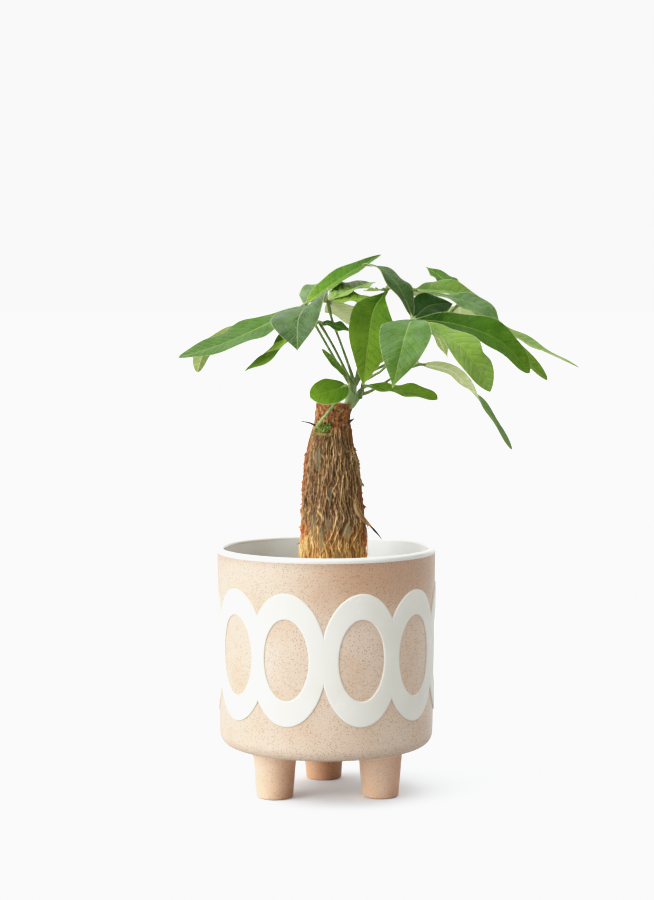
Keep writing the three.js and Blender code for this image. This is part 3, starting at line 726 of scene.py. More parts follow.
# from which height to which, in metres, and how much at each
barkHeights = {
    "paleFoot": (0.165, 0.195, 0.2, 0.0), "ochreFoot": (0.162, 0.205, 0.42, 0.0),
    "neck": (0.244, 0.254, 0.0, 0.8),
}
barkDetails = [  # darkest and palest, roughness
    ("dry_twig", "#33251d", "#5d4837", 0.85), ("green_bud_scale", "#46581f", "#8fb03e", 0.45),
    ("corky_ledge", "#6c5a2c", "#8a7434", 0.8),
]
barkPatches = [  # bare patches: turn to the right of the front, height, half width, half height, grey or pale
    (-33, 230, 3.0, 8, "grey"), (-20, 177, 1.9, 8, "grey"), (7, 163, 2.2, 6, "grey"),
    (27, 181, 2.9, 5, "pale"), (-34, 184, 1.8, 9, "grey"), (-8, 186, 1.9, 5, "grey"),
    (-4, 206, 1.5, 5, "grey"), (100, 190, 3.5, 9, "grey"), (150, 222, 4, 9, "grey"),
    (14, 160, 2.4, 7, "grey"), (-52, 172, 1.2, 6, "pale"), (190, 180, 3, 8, "pale"),
    (235, 205, 4, 10, "grey"),
]
barkStrips = [  # turn at its root and at its end, height, fall, how far off its end stands, width
    (50, 84, 196, 19, 9, 5.2), (80, 92, 213, 4, 2.8, 2.6), (84, 90, 181, 18, 1.5, 3.5),
    (16, 6, 188, 6, 1.5, 1.6), (-60, -66, 205, 10, 1.6, 3), (140, 148, 206, 20, 5, 5),
    (205, 212, 186, 17, 4, 4.5), (240, 247, 214, 12, 3, 4),
]
barkFlakes = [
    (-88, 232), (-86, 214), (-84, 199), (-90, 183), (-87, 172), (86, 236), (88, 224), (92, 206), (87, 196),
]
ledges = [(246.4, 0.8), (247.2, 0.6), (245.8, 0.45)]
budScales = {"turn": (-58, -6), "height": (248, 253.5), "number": 44, "long": (1.8, 3.6), "wide": 0.95}
twigs = [((-6, -6, 251.5), (-17, -10, 255.5), 0.75), ((13, -4, 252), (19, -5.5, 257), 1.2)]
# the sawn top, from its edge inwards: share of the edge's radius and how far below the middle
sawnTop = [(0.985, 0.15), (0.95, 0.35), (0.8, 0.45), (0.55, 0.3), (0.28, 0.1), (0.06, 0.0)]


def trunkAt(z):
    # middle and radius at a height, drawn smoothly through the sections
    table = np.array([(x, r) for _, x, r in trunkSections], float)
    heights = np.array([section[0] for section in trunkSections], float)
    z = np.clip(np.asarray(z, float), heights[0], heights[-1])
    i = np.clip(np.searchsorted(heights, z, side="left"), 1, len(heights) - 1)
    t = ((z - heights[i - 1]) / (heights[i] - heights[i - 1]))[..., None]
    ends = withEnds(table)
    return between(ends[i - 1], ends[i], ends[i + 1], ends[i + 2], t, 0.4)


def drift(turn, height, draw, around, step):
    # smooth chance that wraps round the trunk: from -1 to 1, changing over one step of height
    rows = bark["chanceRows"]
    grid = draw.uniform(-1, 1, (around, rows))
    across, up = turn * around, height / step
    i, j = np.floor(across).astype(int), np.floor(up).astype(int)
    s, t = smoothstep(0, 1, across - i), smoothstep(0, 1, up - j)
    a, b = grid[i % around, j % rows], grid[(i + 1) % around, j % rows]
    c, d = grid[i % around, (j + 1) % rows], grid[(i + 1) % around, (j + 1) % rows]
    return (a + (b - a) * s) * (1 - t) + (c + (d - c) * s) * t


def barkSurface(angle, z):
    # how far the bark stands out at each spot, and how pale, how grey and how red it is there
    draw = np.random.default_rng(21)
    turn = (np.asarray(angle, float) / (2 * math.pi)) % 1.0
    z = np.asarray(z, float)
    winding = bark["bulges"] * angle + 1.6 * np.sin(z / 13) + 0.8 * np.sin(z / 5 + 2 * angle)
    knots = np.sin(5 * angle + z / 6) * np.sin(z / 4.3 - 3 * angle)
    bulge = bark["bulgeDepth"] * np.sin(winding) + bark["knots"] * knots
    height = bulge * 0.7
    pale = np.full(z.shape, 0.16)
    for number, stray, step, wide, raised in barkLines:
        sway = drift(turn, z, draw, max(number // 3, 6), step)
        sway = stray * (sway + 0.4 * drift(turn, z, draw, number, step / 3))
        line = turn * number + sway
        far = np.abs(line - np.round(line)) * bark["girth"] / number
        strong = smoothstep(-0.75, 0.1, drift(turn, z, draw, number, step * 0.8))
        ridge = np.exp(-(far / (wide * 0.6)) ** 2) * strong
        height = height + raised * (ridge - 0.25)
        pale = np.maximum(pale, 0.16 + 0.95 * raised * ridge + 0.08 * bulge)
    rough = drift(turn, z, draw, 150, 1.6)
    height = height + 0.22 * rough
    pale = np.clip(pale + 0.1 * rough, 0, 1)
    grey = np.zeros(z.shape)
    bare = np.zeros(z.shape)
    for spot, level, wide, tall, kind in barkPatches:
        off = (np.degrees(angle) + 90 - spot + 180) % 360 - 180
        aside = np.radians(off) * 22 / wide
        inside = 1 - smoothstep(0.7, 1.25, np.hypot(aside, (z - level) / tall) + 0.25 * rough)
        grey = np.maximum(grey, inside)
        bare = np.maximum(bare, inside * (kind == "pale"))
    height = height * (1 - 0.75 * grey) + 0.25 * bare
    pale = pale * (1 - 0.5 * grey) + bare * 0.45
    # on both sides, as seen from the front, the outer skin has flaked off and shows red-brown
    sideways = np.abs(np.cos(angle)) + 0.22 * drift(turn, z, draw, 14, 12)
    return height, pale, grey, smoothstep(0.74, 1.0, sideways)


def barkMaterials():
    # Fibrous bark drying in strips: olive-brown between cream fibres, rust-red where flaked, ochre low down.
    made = []
    for name, light in (("fibrous_bark", 0.0), ("peeled_bark_fibre", 0.22)):
        material, add, where = newMaterial(name)
        up = add("split", where).outputs["Z"]
        share = addTraits(add, "barkShare")
        fibre = addStretched(add, where, bark["fibreWide"], 7, 5.0, 0.65, 0.5)
        both = add("ADD", fibre, add("noise", where, scaleOf(1.3), 4.0, 0.65))
        raised = add("ADD", share["X"], add("softRange", up, *barkHeights["paleFoot"]))
        level = add("ADD", add("MULTIPLY_ADD", both, 0.42, raised), light - 0.4)
        body = setRamp(add("ramp", level), [(0.05, barkLook["groove"]), (0.3, barkLook["middle"]),
                                            (0.6, barkLook["ridge"]), (0.9, barkLook["pale"])])
        # bare grey-green patches
        body = add("blend", 0.45, add("blend", share["Y"], body, barkLook["grey"]), body)
        # ochre low down and in clouds
        cloud = addStretched(add, where, 8, 22, 4.0, 0.6)
        ochre = add("ADD", cloud, add("softRange", up, *barkHeights["ochreFoot"]))
        body = add("overlay", add("softRange", ochre, 0.6, 0.95, 0.0, 0.66), body, barkLook["ochre"])
        # rust red at the sides and in clouds
        red = add("MULTIPLY_ADD", share["Z"], 0.45, cloud)
        body = add("overlay", add("softRange", red, 0.6, 0.97, 0.0, 0.7), body, barkLook["red"])
        # the neck has no net: pith-coloured and rust-red flakes, 1.5 mm across, with dark gaps
        flake = add("cells", where, scaleOf(1.5)).outputs["Color"]
        flakes = setRamp(add("ramp", flake), barkLook["flakes"])
        body = add("blend", add("softRange", up, *barkHeights["neck"]), body, flakes)
        body = add("blend", add("range", level, 0.0, 0.3, 0.75, 0.0), body, barkLook["groove"])
        addSurface(add, body, 0.8, (both, 0.8, 0.5), None, 0.3)
        made.append(material)
    # Dead twig ends of dry, nearly black wood; fresh bud scales, dark to bright green; their corky ledge.
    for name, dark, light, rough in barkDetails:
        material, add, where = newMaterial(name)
        grain = add("noise", where, scaleOf(0.9), 4.0)
        body = setRamp(add("ramp", grain), [(0.35, dark), (0.65, light)])
        addSurface(add, body, rough, (grain, 0.6, 0.3))
        made.append(material)
    return made


def outward(turn):
    return np.array([math.sin(math.radians(turn)), -math.cos(math.radians(turn)), 0])


def trunkPoint(turn, z, off):
    x, r = trunkAt(z)
    return (r + off) * outward(turn) + [x, 0, z]


def onBark(turn, z, off):
    # a spot on the bark's real surface, or a little off it
    a = math.radians(turn) - math.pi / 2
    lift = barkSurface(np.array([[a]]), np.array([[float(z)]]))[0][0, 0]
    return trunkPoint(turn, z, float(lift) + off)


def addStrand(build, points, widths, thickness, out, share, kind=1, red=0.0):
    # a flat fibre along a smooth curve, thinning to both ends; out is the way its face looks
    steps = 14
    centres, heading, _ = smoothCurve(points, steps + 1)
    rows = []
    for centre, along, w in zip(centres, heading, readEvenly(widths, steps + 1)):
        side = np.cross(along, out)
        side /= np.linalg.norm(side)
        up = np.cross(side, along) * thickness * min(1.0, w / widths[1] + 0.2) / 2
        rows.append([centre + side * w * across + up * raised for across, raised in
                     ((-0.5, 0), (-0.25, 1), (0.25, 1), (0.5, 0), (0.25, -1), (-0.25, -1))])
    points = np.vstack(rows + [centres[:1], centres[-1:]])
    build.add(points, closedFaces(steps + 1, 6), kind, barkShare=[(share, 0.0, red)] * len(points))


def addLooseBark(build, draw):
    # strips that peel away, first flat on the bark and then free, each with two thin fibres
    for root, end, height, fall, off, width in barkStrips:
        swing, large = end - root, off > 6
        path = [onBark(root - 3, height + fall * 0.35, -0.3), onBark(root, height, 0.3),
                trunkPoint(root + swing * 0.35, height - fall * 0.3, 1.0),
                trunkPoint(root + swing * 0.7, height - fall * 0.62, 0.6 + off * 0.4),
                trunkPoint(end, height - fall, off)]
        addStrand(build, path, [width * 0.5, width, width * 0.75, width * 0.35, 0.4], 0.7, outward(root),
                  0.75 if large else 0.5, 1, 0.6 if large else 0.9)
        if large:
            tip = [path[-2], path[-1] + [0, 0, 0.4], path[-1] + (path[-1] - path[-2]) * 0.4]
            addStrand(build, tip, [0.9, 2.2, 1.5, 0.4], 1.3, outward(root), 0.0, 2)
        for _ in range(2):
            start, reach = root + draw.uniform(-4, 4), draw.uniform(0.5, 0.85)
            path = [onBark(start, height + fall * 0.3, 0), trunkPoint(start, height, 0.9),
                    trunkPoint(start + swing * 0.4 * reach, height - fall * 0.45 * reach, 1.3 + off * 0.15),
                    trunkPoint(start + swing * 0.8 * reach, height - fall * reach, off * 0.5 * reach)]
            addStrand(build, path, [0.8, 1.3, 0.9, 0.3], 0.5, outward(root), draw.uniform(0.05, 0.4))
    # short curled flakes on the outline
    for turn, height in barkFlakes:
        size = draw.uniform(1.6, 3.0)
        path = [onBark(turn, height + size, -0.3), onBark(turn + 2, height, 0.5),
                trunkPoint(turn + 4, height - size * 0.6, 1.4 + size * 0.25)]
        addStrand(build, path, [size * 0.6, size * 0.8, size * 0.5, 0.4], 0.6, outward(turn),
                  draw.uniform(-0.1, 0.3))


def addBudTuft(build, draw):
    # a cluster of small green scales on a corky ledge, low on the neck
    share = (0.5, 0.0, 0.0)
    low, high = budScales["turn"]
    for level, radius in ledges:
        ledge = [onBark(turn, level + 0.9 * (turn / 50 + 0.5) ** 2 + draw.uniform(-0.35, 0.35), 0.3)
                 for turn in range(low - 8, high + 14, 8)]
        radii = [0.3] + [draw.uniform(0.6, 1.3) * radius for _ in ledge] + [0.3]
        tube(build, ledge, radii, 9, 4, 30, barkShare=share)
    wide = budScales["wide"]
    for _ in range(budScales["number"]):
        turn, height = draw.uniform(low, high), draw.uniform(*budScales["height"])
        length = draw.uniform(*budScales["long"])
        tip = outward(turn + draw.uniform(-35, 35)) * length * 0.75 + [0, 0, draw.uniform(-0.1, 0.9) * length]
        start = onBark(turn, height, -0.2)
        bend = start + tip * 0.55 + [0, 0, 0.3]
        radii = [wide * 0.6, wide, wide * 0.7, 0.15]
        tube(build, [start, bend, start + tip], radii, 8, 3, 6, barkShare=share)


def addTwigs(build):
    for start, end, radius in twigs:
        bend = (np.array(start) + np.array(end)) / 2 + [0.4, -0.3, 0.7]
        radii = [radius * 1.2, radius, radius * 0.75, radius * 0.45]
        tube(build, [start, bend, end], radii, 9, 2, 10, barkShare=(0.3, 0.0, 0.0))


def makeTrunk():
    draw = random.Random(5)
    build = Build()
    low, high, sides = trunkSections[0][0], trunkSections[-1][0], bark["sides"]
    heights = np.concatenate([np.linspace(low, bark["shownFrom"], 10, endpoint=False),
                              np.arange(bark["shownFrom"], high - 0.6, bark["rowStep"]), [high - 0.5]])
    angle, z = np.meshgrid(fullTurn(sides), heights)
    middle = trunkAt(z)
    height, *traits = barkSurface(angle, z)
    radius = middle[..., 1] + height * (1 - 0.5 * smoothstep(246, 252, z))
    rows = np.stack([middle[..., 0] + radius * np.cos(angle), radius * np.sin(angle), z], axis=2)
    cap = []
    pith = [middle[-1, 0, 0], 0]
    for inset, drop in sawnTop:
        ring = rows[-1].copy()
        ring[:, :2] = pith + (ring[:, :2] - pith) * inset
        ring[:, 2] = high - drop
        cap.append(ring)
    rows = np.concatenate([rows, np.array(cap)])
    traits = np.concatenate([np.stack(traits, axis=2), np.tile(bark["topShare"], (len(cap), sides, 1))])
    points = np.vstack([rows.reshape(-1, 3), [(4, 0, low)], [(6, 0, high)]])
    build.add(points, closedFaces(len(rows), sides), 0,
              barkShare=traits.reshape(-1, 3).tolist() + [bark["endShare"]] * 2)
    addLooseBark(build, draw)
    addBudTuft(build, draw)
    addTwigs(build)
    piece = build.make("trunk_bark", barkMaterials(), 80)
    finishPiece(piece, "bark", "trunk")
    print("trunk made:", len(piece.data.polygons), "faces")


makeTrunk()

shoots = {
    "shoot_main": {"path": [[9.5, 0, 262], [15.6, -3.8, 267.5], [18.3, -3.5, 284]], "radius": 3.5},
    "shoot_side": {"path": [[11.5, 3.5, 262], [18.3, 4, 267], [24.5, 3, 277]], "radius": 2.6},
}

# rib: the midrib from the hub outwards. face: where the upper side looks, turning to tipFace on its way out.
# look: (tone from dark -1 to pale 1, set blade by blade and partly painted light and shade; waxy shine, which
# also sets the painted sheen; how clear the side veins are). tipPaler shifts the tone towards the tip, also
# partly painted light and shade.
leaves = {
    "leaf_left": {
        "stalk": [[18.5, -3, 277], [12, -3.5, 287], [-3, -5, 313]], "hub": [-15, -4, 334],
        "blades": {
            "long": {"rib": [[-43, -14, 320], [-70, -24, 308], [-99, -30, 299]], "width": 31,
                "face": [0, -0.36, 0.93], "fold": 6, "tip": 0.6, "look": (-0.4, 0.28, 0.9), "tipPaler": -0.3,
                "dents": [(1, 0.35, 1.6), (1, 0.62, 1.4), (-1, 0.5, 1.2)]},
            "behind": {"rib": [[-44, 12, 322], [-72, 26, 309], [-85, 31, 301], [-90, 33, 287]], "width": 18,
                "face": [-0.1, 0, 1], "tipFace": [-0.3, 0.8, 0.4], "widest": 0.65, "tip": 0.5,
                "look": (-0.4, 0.2, 0.5)},
            "low": {"rib": [[-24, -12, 317], [-37, -20, 300], [-55, -24, 290]], "width": 15,
                "face": [-0.55, -0.45, 0.7], "widest": 0.62, "tip": 0.8, "look": (0.3, 0.0, 0.2)},
            "curled": {"rib": [[-22, -18, 318], [-30, -24, 308], [-42, -28, 302]], "width": 8,
                "face": [-0.55, -0.45, 0.7], "widest": 0.7, "look": (0.6, 0.0, 0.2)},
            "high": {"rib": [[-3, 5, 343], [13, 16, 354], [38, 32, 369]], "width": 26,
                "face": [-0.3, -0.3, 0.9], "tip": 0.8, "look": (-0.15, 0.0, 0.4), "wave": 0.5,
                "tipPaler": -1.5},
            "back": {"rib": [[-9, 25, 342], [3, 52, 351]], "width": 18, "face": [0, -0.5, 0.85],
                "look": (0.2, 1.0, 0.9)},
        },
    },
    "leaf_middle": {
        "stalk": [[19, -3, 281], [16, -5, 291], [10, -9, 308], [4, -13, 324]], "hub": [1, -16, 337],
        "blades": {
            "front": {"rib": [[-11, -36, 334], [-18, -54, 325], [-19, -62, 304.5]], "width": 45,
                "face": [-0.6, 0.1, 0.8], "tipFace": [-0.35, -0.9, 0.3], "widest": 0.55, "tip": 1.1,
                "look": (-1.05, 0.5, 1.0), "tipPaler": 0.3},
            "upper": {"rib": [[15, 2, 344], [30.5, 22, 349.5]], "width": 25, "face": [-0.2, -0.4, 0.9],
                "widest": 0.6, "tip": 0.4, "look": (1.7, 0.8, 1.0)},
            "side": {"rib": [[16, -12, 338], [32, -6, 339]], "width": 18, "face": [0, -0.4, 0.9],
                "look": (1.0, 0.1, 0.4)},
            "back": {"rib": [[12, 2, 328], [20, 20, 323], [34, 44, 314]], "width": 34,
                "face": [0.3, 0.7, 0.7], "widest": 0.45, "look": (2.6, 0.2, 1.5)},
        },
    },
    "leaf_front": {
        "stalk": [[20, -4, 281], [23, -10, 296], [31, -19, 322]], "hub": [41, -24, 345],
        "blades": {
            "front": {"rib": [[31.5, -40, 331], [28, -52, 313], [24, -59, 282]], "width": 34,
                "face": [0.35, -0.75, 0.6], "fold": 18, "foot": 1.8, "look": (0.4, 0.0, 0.5),
                "tipPaler": 1.7},
            "left": {"rib": [[32, -26, 344], [25, -22, 344]], "width": 10, "face": [0, 0, 1],
                "look": (0.3, 0.2, 0.3)},
            "back": {"rib": [[47, -5, 346], [51, 12, 348]], "width": 12, "face": [0, 0, 1],
                "look": (0.0, 0.3, 0.3)},
        },
    },
    "leaf_right": {
        "stalk": [[24.5, 3, 275], [25.5, -3, 282], [31, -12, 286], [39, -22, 292], [50, -37, 308]],
        "hub": [57, -44, 325],
        "blades": {
            "arching": {"rib": [[53, -36, 337], [46, -26, 350], [36, -13, 359.5], [25, -2, 361]],
                "width": 25, "face": [0.5, -0.3, 0.8], "fold": 5, "tip": 0.6, "look": (-0.75, 0.1, 0.3)},
            "spade": {"rib": [[54, -60, 321], [50, -72, 309], [43, -78, 281]], "width": 34,
                "face": [0, -0.2, 1], "tipFace": [0, -0.95, 0.3], "fold": 6, "widest": 0.42, "tip": 1.15,
                "look": (-0.05, 0.55, 0.5)},
            "lower": {"rib": [[75, -58, 316], [92, -66, 303], [107, -70, 278]], "width": 27,
                "face": [0.2, -0.6, 0.7], "widest": 0.7, "foot": 1.3, "tip": 0.75, "look": (0.95, 0.5, 0.35),
                "tipPaler": 0.9, "dents": [(-1, 0.68, 3.6), (1, 0.4, 1.2)]},
            "long": {"rib": [[86, -38, 321.5], [115, -36, 310.5], [136, -32, 289]], "width": 30,
                "face": [0, -0.55, 0.83], "widest": 0.6, "tip": 0.55, "look": (-0.45, 0.0, 0.3),
                "tipPaler": 1.6, "dents": [(-1, 0.75, 1.2)]},
            "behind": {"rib": [[83, -20, 323], [118, -6, 310], [151, 0, 283]], "width": 28,
                "face": [0.1, -0.4, 0.9], "widest": 0.65, "tip": 0.5, "look": (0.2, 0.0, 0.3)},
            "under": {"rib": [[73, -30, 315], [82, -14, 299]], "width": 9, "face": [0.3, 0.7, 0.7],
                "widest": 0.6, "look": (0.2, 0.2, 0.5)},
            "dark": {"rib": [[70, -20, 334], [86, -2, 335]], "width": 23, "face": [0, -0.85, 0.5], "fold": 2,
                "look": (-1.5, 0.0, 0.0)},
        },
    },
    "leaf_back": {
        "stalk": [[20, -3, 280], [26, 2, 289], [40, 8, 297], [55, 12, 310], [61, 14, 325]],
        "hub": [58, 12, 345],
        "blades": {
            "upper": {"rib": [[79, 26, 344], [95, 32, 341], [114, 36, 333]], "width": 25,
                "face": [0, -0.5, 0.85], "foot": 1.6, "look": (0.45, 0.2, 0.4)},
            "right": {"rib": [[78, 10, 341], [96, 8, 336.5], [108, 7, 331.5], [118, 6, 324]], "width": 21,
                "face": [0, -0.5, 0.85], "fold": 5, "widest": 0.75, "foot": 2.8, "tip": 0.9,
                "look": (-0.3, 0.6, 0.2)},
            "rear": {"rib": [[69, 40, 339], [79, 62, 334]], "width": 14, "face": [0, 0.2, 1],
                "look": (0.0, 0.3, 0.4)},
        },
    },
    "leaf_far_right": {
        "stalk": [[18.5, -1, 276], [21, 6, 284], [40, 14, 293], [58, 24, 306], [79, 34, 322]],
        "hub": [93, 40, 335],
        "blades": {
            "long": {"rib": [[111, 42, 325], [130, 45, 313], [150, 48, 303], [178, 50, 290]], "width": 20,
                "face": [0.35, -0.45, 0.85], "tipFace": [0.35, -0.1, 0.9], "widest": 0.4, "tip": 0.55,
                "look": (2.6, 0.5, 0.5), "tipPaler": -0.9},
            "rising": {"rib": [[86, 55, 348.5], [77.6, 68, 355.9], [71, 76, 361]], "width": 15,
                "face": [0, -0.4, 0.9], "tip": 1.0, "look": (-0.6, 0.1, 0.4)},
            "drooping": {"rib": [[95, 62, 325], [95, 84, 307]], "width": 25, "face": [0, 0.6, 0.8],
                "foot": 1.2, "look": (1.6, 0.2, 0.8)},
        },
    },
    "leaf_low": {
        "stalk": [[23.5, 3.5, 273], [32, 8, 276], [54, 20, 289]], "hub": [65, 28, 293],
        "blades": {
            "long": {
                "rib": [[78, 36, 291], [89, 40, 287], [97, 43, 279], [113.5, 47, 259.5], [131, 50, 232]],
                "width": 12.5, "face": [0.1, 0.9, 0.4], "tipFace": [0.5, -0.8, 0.4], "widest": 0.27,
                "tip": 0.5, "look": (1.5, 1.9, 1.0), "tipPaler": 1.8},
            "rear": {"rib": [[57, 46, 295], [46, 70, 297]], "width": 14, "face": [0, 0, 1],
                "look": (0.0, 0.3, 0.4)},
        },
    },
    "leaf_small": {
        "stalk": [[19, -4, 278], [15, -9, 286], [5, -12.5, 306]], "hub": [-5, -13, 323],
        "blades": {
            "right": {"rib": [[5, -21, 320.5], [19, -26, 316]], "width": 9, "face": [0, -0.6, 0.8],
                "foot": 1.2, "look": (-0.5, 0.1, 0.2)},
            "left": {"rib": [[-10, -20, 320], [-16, -27, 312]], "width": 9, "face": [0, 0, 1],
                "look": (-0.2, 0.2, 0.2)},
        },
    },
    "leaf_single": {
        "stalk": [[23.5, 2.5, 271], [24.5, -4, 276.5]], "hub": [27, -8, 279.5],
        "blades": {
            "only": {"rib": [[44, -14, 277], [60, -20, 275], [75, -24, 271]], "width": 17,
                "face": [0, -0.45, 0.9], "widest": 0.75, "foot": 0.5, "tip": 0.5, "look": (0.5, 0.0, 0.3)},
        },
    },
    "leaf_young": {
        "stalk": [[19, -4.5, 273], [17.5, -8, 278]], "hub": [16, -11, 284],
        "blades": {
            "only": {"rib": [[7, -15, 294], [-3, -18, 305]], "width": 5.5, "face": [-0.6, -0.5, 0.6],
                "fold": 25, "foot": 0.8, "tip": 0.5, "look": (0.3, 0.2, 0.2)},
        },
    },
    "leaf_round": {
        "stalk": [[-3, -9, 249.5], [-5.5, -14, 253], [0, -17.5, 260.5], [6.5, -19.5, 269], [13, -17.5, 278]],
        "stalkTone": 0.25, "hub": [14, -17, 280],
        "blades": {
            "only": {"rib": [[4, -22, 276.5], [-11, -26, 272.5]], "width": 24, "face": [0, -0.7, 0.7],
                "foot": 0.5, "tip": 0.5, "fold": 4, "wave": 0.2, "look": (0.35, 0.0, 0.1)},
        },
    },
}
leafForm = {
    "thickness": 0.5, "edgeThickness": 0.3, "rowStep": 1.2,
    "outs": [0, 0.03, 0.07, 0.13, 0.21, 0.31, 0.42, 0.54, 0.66, 0.78, 0.88, 0.95, 1.0],
    "footWidth": 1.5, "tipWidth": 0.4, "widest": 0.5, "foot": 1, "tip": 1, "fold": 12,
    "wave": 1.3, "waves": 2.5, "dents": [], "dentLong": 0.06, "quilt": 0.42, "ribDepth": 0.22, "ribOut": 0.5,
    "veinGap": 5.6, "veinSlope": 0.62, "veinCurve": 0.018, "tipPaler": 0.5,
}
stalkForm = {
    "radii": [1.5, 1.1, 0.95, 0.95, 1.0, 1.25], "bladeRadii": [1.3, 1.05, 0.75], "underBlade": 5.0,
    "shootRadii": [1.12, 0.98, 0.95, 1.04, 0.92, 0.94, 1.0, 0.86, 0.55],
}
leafSides = {
    "waxy_leaf_upper": {
        "tints": [(0.12, "#1f4505"), (0.5, "#4c7a18"), (0.92, "#86aa34")],
        "vein": "#9dbb66", "rib": "#a9c064",
        "ribWidth": (0.42, 0.16), "ribStrong": 0.7, "veinWidth": 0.075, "veinStrong": 0.5,
        "rough": (0.38, 0.5), "through": 0.36,
    },
    "dull_leaf_underside": {
        "tints": [(0.2, "#92b04c"), (0.75, "#bcd27c"), (1.0, "#d8eaa4")],
        "vein": "#f8f8c8", "rib": "#f8f8c8",
        "ribWidth": (0.8, 0.3), "ribStrong": 0.9, "veinWidth": 0.17, "veinStrong": 0.75,
        "rough": (0.6, 0.7), "through": 0.14,
    },
}
# the first colour is painted sheen, a painted reflection
leafLook = {"paintedSheen": "#84a07c", "edge": "#c2d08c", "lightThrough": "#e8f48a"}
# from and to of what is read, and how much at each
leafRanges = {
    "ribClear": (0.0, 0.6, 0.25, 1.0), "netLine": (0.0, 0.12, 0.16, 0.0),
    "paintedSheenPatch": (0.35, 0.65, 0.12, 0.48), "margin": (0.1, 0.55, 0.75, 0.0), "shine": (0.0, 1.0, 0.04, 0.5),
}
greenSkins = [  # darkest and palest, roughness
    ("green_stalk", "#3f5222", "#9bb45e", 0.5), ("green_shoot_skin", "#6d8a50", "#98b078", 0.55),
]


def leafMaterials():
    # Waxy cuticle over thin green tissue: satin above with paler veins, duller and paler below, lit through.
    made = []
    for name, side in leafSides.items():
        upper = name.endswith("upper")
        material, add, coords = newMaterial(name)
        place, traits = addTraits(add, "leafPlace"), addTraits(add, "leafLook")
        across = add("ABSOLUTE", place["X"])
        # the midrib thins from the foot to the tip
        ribWidth = add("range", place["Z"], 0.0, 1.0, *side["ribWidth"])
        rib = add("softRange", add("DIVIDE", across, ribWidth), 0.6, 1.5, side["ribStrong"], 0.0)
        rib = add("MULTIPLY", rib, add("range", traits["Z"], *leafRanges["ribClear"]))
        # side veins leave it in turn on either side and bend towards the tip
        run = add("MULTIPLY_ADD", across, -leafForm["veinSlope"], place["Y"])
        run = add("MULTIPLY_ADD", add("MULTIPLY", across, across), -leafForm["veinCurve"], run)
        run = add("MULTIPLY_ADD", add("SIGN", place["X"]), leafForm["veinGap"] / 4, run)
        waver = add("noise", coords, scaleOf(9), 1.0)
        run = add("DIVIDE", add("MULTIPLY_ADD", waver, 1.6, run), leafForm["veinGap"])
        gap = add("ABSOLUTE", add("SUBTRACT", add("FRACT", run), 0.5))
        vein = add("softRange", gap, 0.0, side["veinWidth"], 1.0, 0.0)
        # a fine net of veins about 1.3 mm across between them
        net = add("range", add("cellEdges", coords, scaleOf(1.3)), *leafRanges["netLine"])
        cloud = add("noise", coords, scaleOf(11), 4.0, 0.6)
        # the blade's tone: its own green, partly painted light and shade set blade by blade
        tone = add("MULTIPLY_ADD", cloud, 0.5, add("MULTIPLY_ADD", traits["X"], 0.36, 0.3))
        body = setRamp(add("ramp", tone), side["tints"])
        if upper:
            # painted sheen: the grey-green reflection of the bright room on the waxy upper side, laid in
            # patches
            paintedSheenShare = add("softRange", waver, *leafRanges["paintedSheenPatch"])
            body = add("blend", add("MULTIPLY", traits["Y"], paintedSheenShare), body, leafLook["paintedSheen"])
        body = add("blend", add("MULTIPLY", net, traits["Z"]), body, side["vein"])
        veinShown = add("MULTIPLY", add("MULTIPLY", vein, traits["Z"]), side["veinStrong"])
        body = add("blend", rib, add("blend", veinShown, body, side["vein"]), side["rib"])
        # a pale, thin margin 0.3 mm wide
        margin = add("attribute", attribute_name="leafMargin").outputs["Fac"]
        body = add("blend", add("softRange", margin, *leafRanges["margin"]), body, leafLook["edge"])
        # veins sink in above and stand out below
        wrinkle = add("noise", coords, scaleOf(4.5), 2.0, 0.5)
        raised = add("MULTIPLY_ADD", net, 0.5, add("MULTIPLY_ADD", wrinkle, 2.2, vein))
        bump = add("bump", raised, 0.8, 0.5 * mm, invert=upper)
        gloss = add("range", cloud, 0.3, 0.7, *side["rough"])
        shine = add("range", traits["Y"], *leafRanges["shine"])
        surface = add("surface", body, gloss, bump, None, shine)
        light = add("letThrough", add("tinge", 1.0, body, leafLook["lightThrough"]), bump)
        add("output", add("mixShaders", side["through"], surface, light))
        made.append(material)
    for name, dark, pale, rough in greenSkins:
        # Young green skin: smooth with fine lengthwise streaks.
        material, add, where = newMaterial(name)
        streak = addStretched(add, where, 1.1, 7, 3.0, 0.6)
        tone = add("MULTIPLY_ADD", addTraits(add, "leafLook")["X"], 0.35, streak)
        body = setRamp(add("ramp", tone), [(0.25, dark), (0.75, pale)])
        addSurface(add, body, rough, (streak, 0.4, 0.3), 1.45)
        made.append(material)
    return made


def halfWidth(share, form):
    # a quarter wave up to the widest place and one down to the tip
    quarter = math.pi / 2
    rise = math.sin(quarter * min(share / form["widest"], 1)) ** form["foot"]
    fall = max(math.cos(quarter * max((share - form["widest"]) / (1 - form["widest"]), 0)), 0) ** form["tip"]
    least = (form["footWidth"] + (form["tipWidth"] - form["footWidth"]) * share) / 2
    return max(form["width"] / 2 * rise * fall, least)


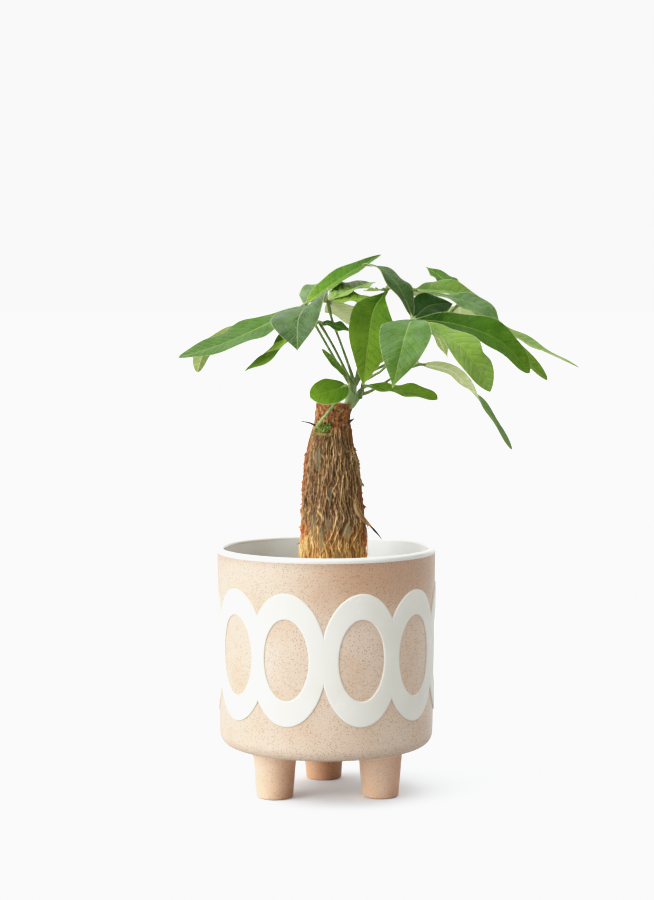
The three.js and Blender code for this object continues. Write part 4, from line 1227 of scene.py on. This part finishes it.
def addBlade(build, hub, blade):
    # one thin blade: folded up a little from the rib, waved along its edges, quilted between its side veins
    form = {**leafForm, **blade}
    rib = [hub] + form["rib"]
    rows = max(16, int(smoothCurve(rib, 3)[2] / form["rowStep"]))
    centres, heading, length = smoothCurve(rib, rows + 1)
    face = np.array(form["face"], float)
    tipFace = np.array(form.get("tipFace", face), float)
    fold = math.radians(form["fold"])
    outs = np.array([-o for o in reversed(form["outs"][1:])] + form["outs"])
    columns = len(outs)
    upper, lower, places, margins, looks = [], [], [], [], []
    tone, shineAndSheen, veins = form["look"]
    quilt = form["quilt"] * (0.5 + veins)
    for i in range(rows + 1):
        share = i / rows
        along = heading[i]
        side = np.cross(along, face + (tipFace - face) * share)
        side /= np.linalg.norm(side)
        up = np.cross(side, along)
        half = halfWidth(share, form)
        reach = np.full(columns, half)
        for way, spot, depth in form["dents"]:
            near = math.exp(-((share - spot) / form["dentLong"]) ** 2)
            reach -= (np.sign(outs) == way) * depth * near * min(1, half / 5)
        waves = np.sin(2 * math.pi * form["waves"] * share + 1.4 * np.sign(outs))
        swing = form["wave"] * outs**2 * waves
        lift = np.sqrt(outs**2 + 0.004) * half * math.sin(fold) + swing * math.sin(math.pi * share)
        x = outs * reach
        run = share * length
        step = (run - form["veinSlope"] * abs(x) - form["veinCurve"] * x**2
                + np.sign(x) * form["veinGap"] / 4 + 0.8) / form["veinGap"]
        swell = quilt * (0.5 + 0.5 * np.cos(2 * math.pi * step)) * np.minimum(abs(x) / 3, 1)
        swell = swell * (1 - outs**4) * min(1, half / 6)
        ribShare = np.exp(-(x / 0.75) ** 2) * (1 - 0.6 * share)
        points = centres[i] + np.outer(x * math.cos(fold), side) + np.outer(lift + swell, up)
        thick = (form["thickness"] + (form["edgeThickness"] - form["thickness"]) * outs**2) / 2
        upper.append(points + np.outer(thick - form["ribDepth"] * ribShare * min(1, half / 3), up))
        lower.append(points - np.outer(thick + form["ribOut"] * ribShare, up))
        places.extend([(a, run, share) for a in x])
        margins.extend([(room - abs(a),) for room, a in zip(reach, x)])
        # tone along the blade, partly painted light and shade towards the tip
        looks.extend([(tone + form["tipPaler"] * (share - 0.5), shineAndSheen, veins)] * columns)
    count = (rows + 1) * columns
    faces = [tuple(reversed(f)) for f in gridFaces(rows + 1, columns)]
    under = gridFaces(rows + 1, columns, start=count)
    ring = list(range(columns))
    ring += [i * columns + columns - 1 for i in range(1, rows + 1)]
    ring += [rows * columns + j for j in range(columns - 2, -1, -1)]
    ring += [i * columns for i in range(rows - 1, 0, -1)]
    rim = [(a, b, b + count, a + count) for a, b in zip(ring, ring[1:] + ring[:1])]
    build.add(np.vstack(upper + lower), faces + under + rim,
              [0] * len(faces) + [1] * len(under) + [0] * len(rim),
              leafPlace=places * 2, leafLook=looks * 2, leafMargin=margins * 2)
    return centres, length


def makeLeaves():
    materials = leafMaterials()
    for name, leaf in leaves.items():
        build = Build()
        hub = leaf["hub"]
        traits = {"leafPlace": (5.0, 0.0, 0.0), "leafLook": (leaf.get("stalkTone", -0.2), 0.0, 0.0),
                  "leafMargin": (5.0,)}
        tube(build, leaf["stalk"] + [hub], stalkForm["radii"], 14, 2, 44, **traits)
        for blade in leaf["blades"].values():
            centres, length = addBlade(build, hub, blade)
            share = max(2, int(stalkForm["underBlade"] / length * (len(centres) - 1)))
            path = [hub, centres[share // 2], centres[share]]
            tube(build, path, stalkForm["bladeRadii"], 10, 2, 6, **traits)
        piece = build.make(name + "_blades", materials[:3], 55)
        finishPiece(piece, "leaf", name)
    for name, shoot in shoots.items():
        build = Build()
        tube(build, shoot["path"], [shoot["radius"] * part for part in stalkForm["shootRadii"]], 24, 0, 40)
        piece = build.make(name + "_stub", [materials[3]], 60)
        finishPiece(piece, "stem", name)
    print("shoots and leaves made:", len(leaves))


makeLeaves()
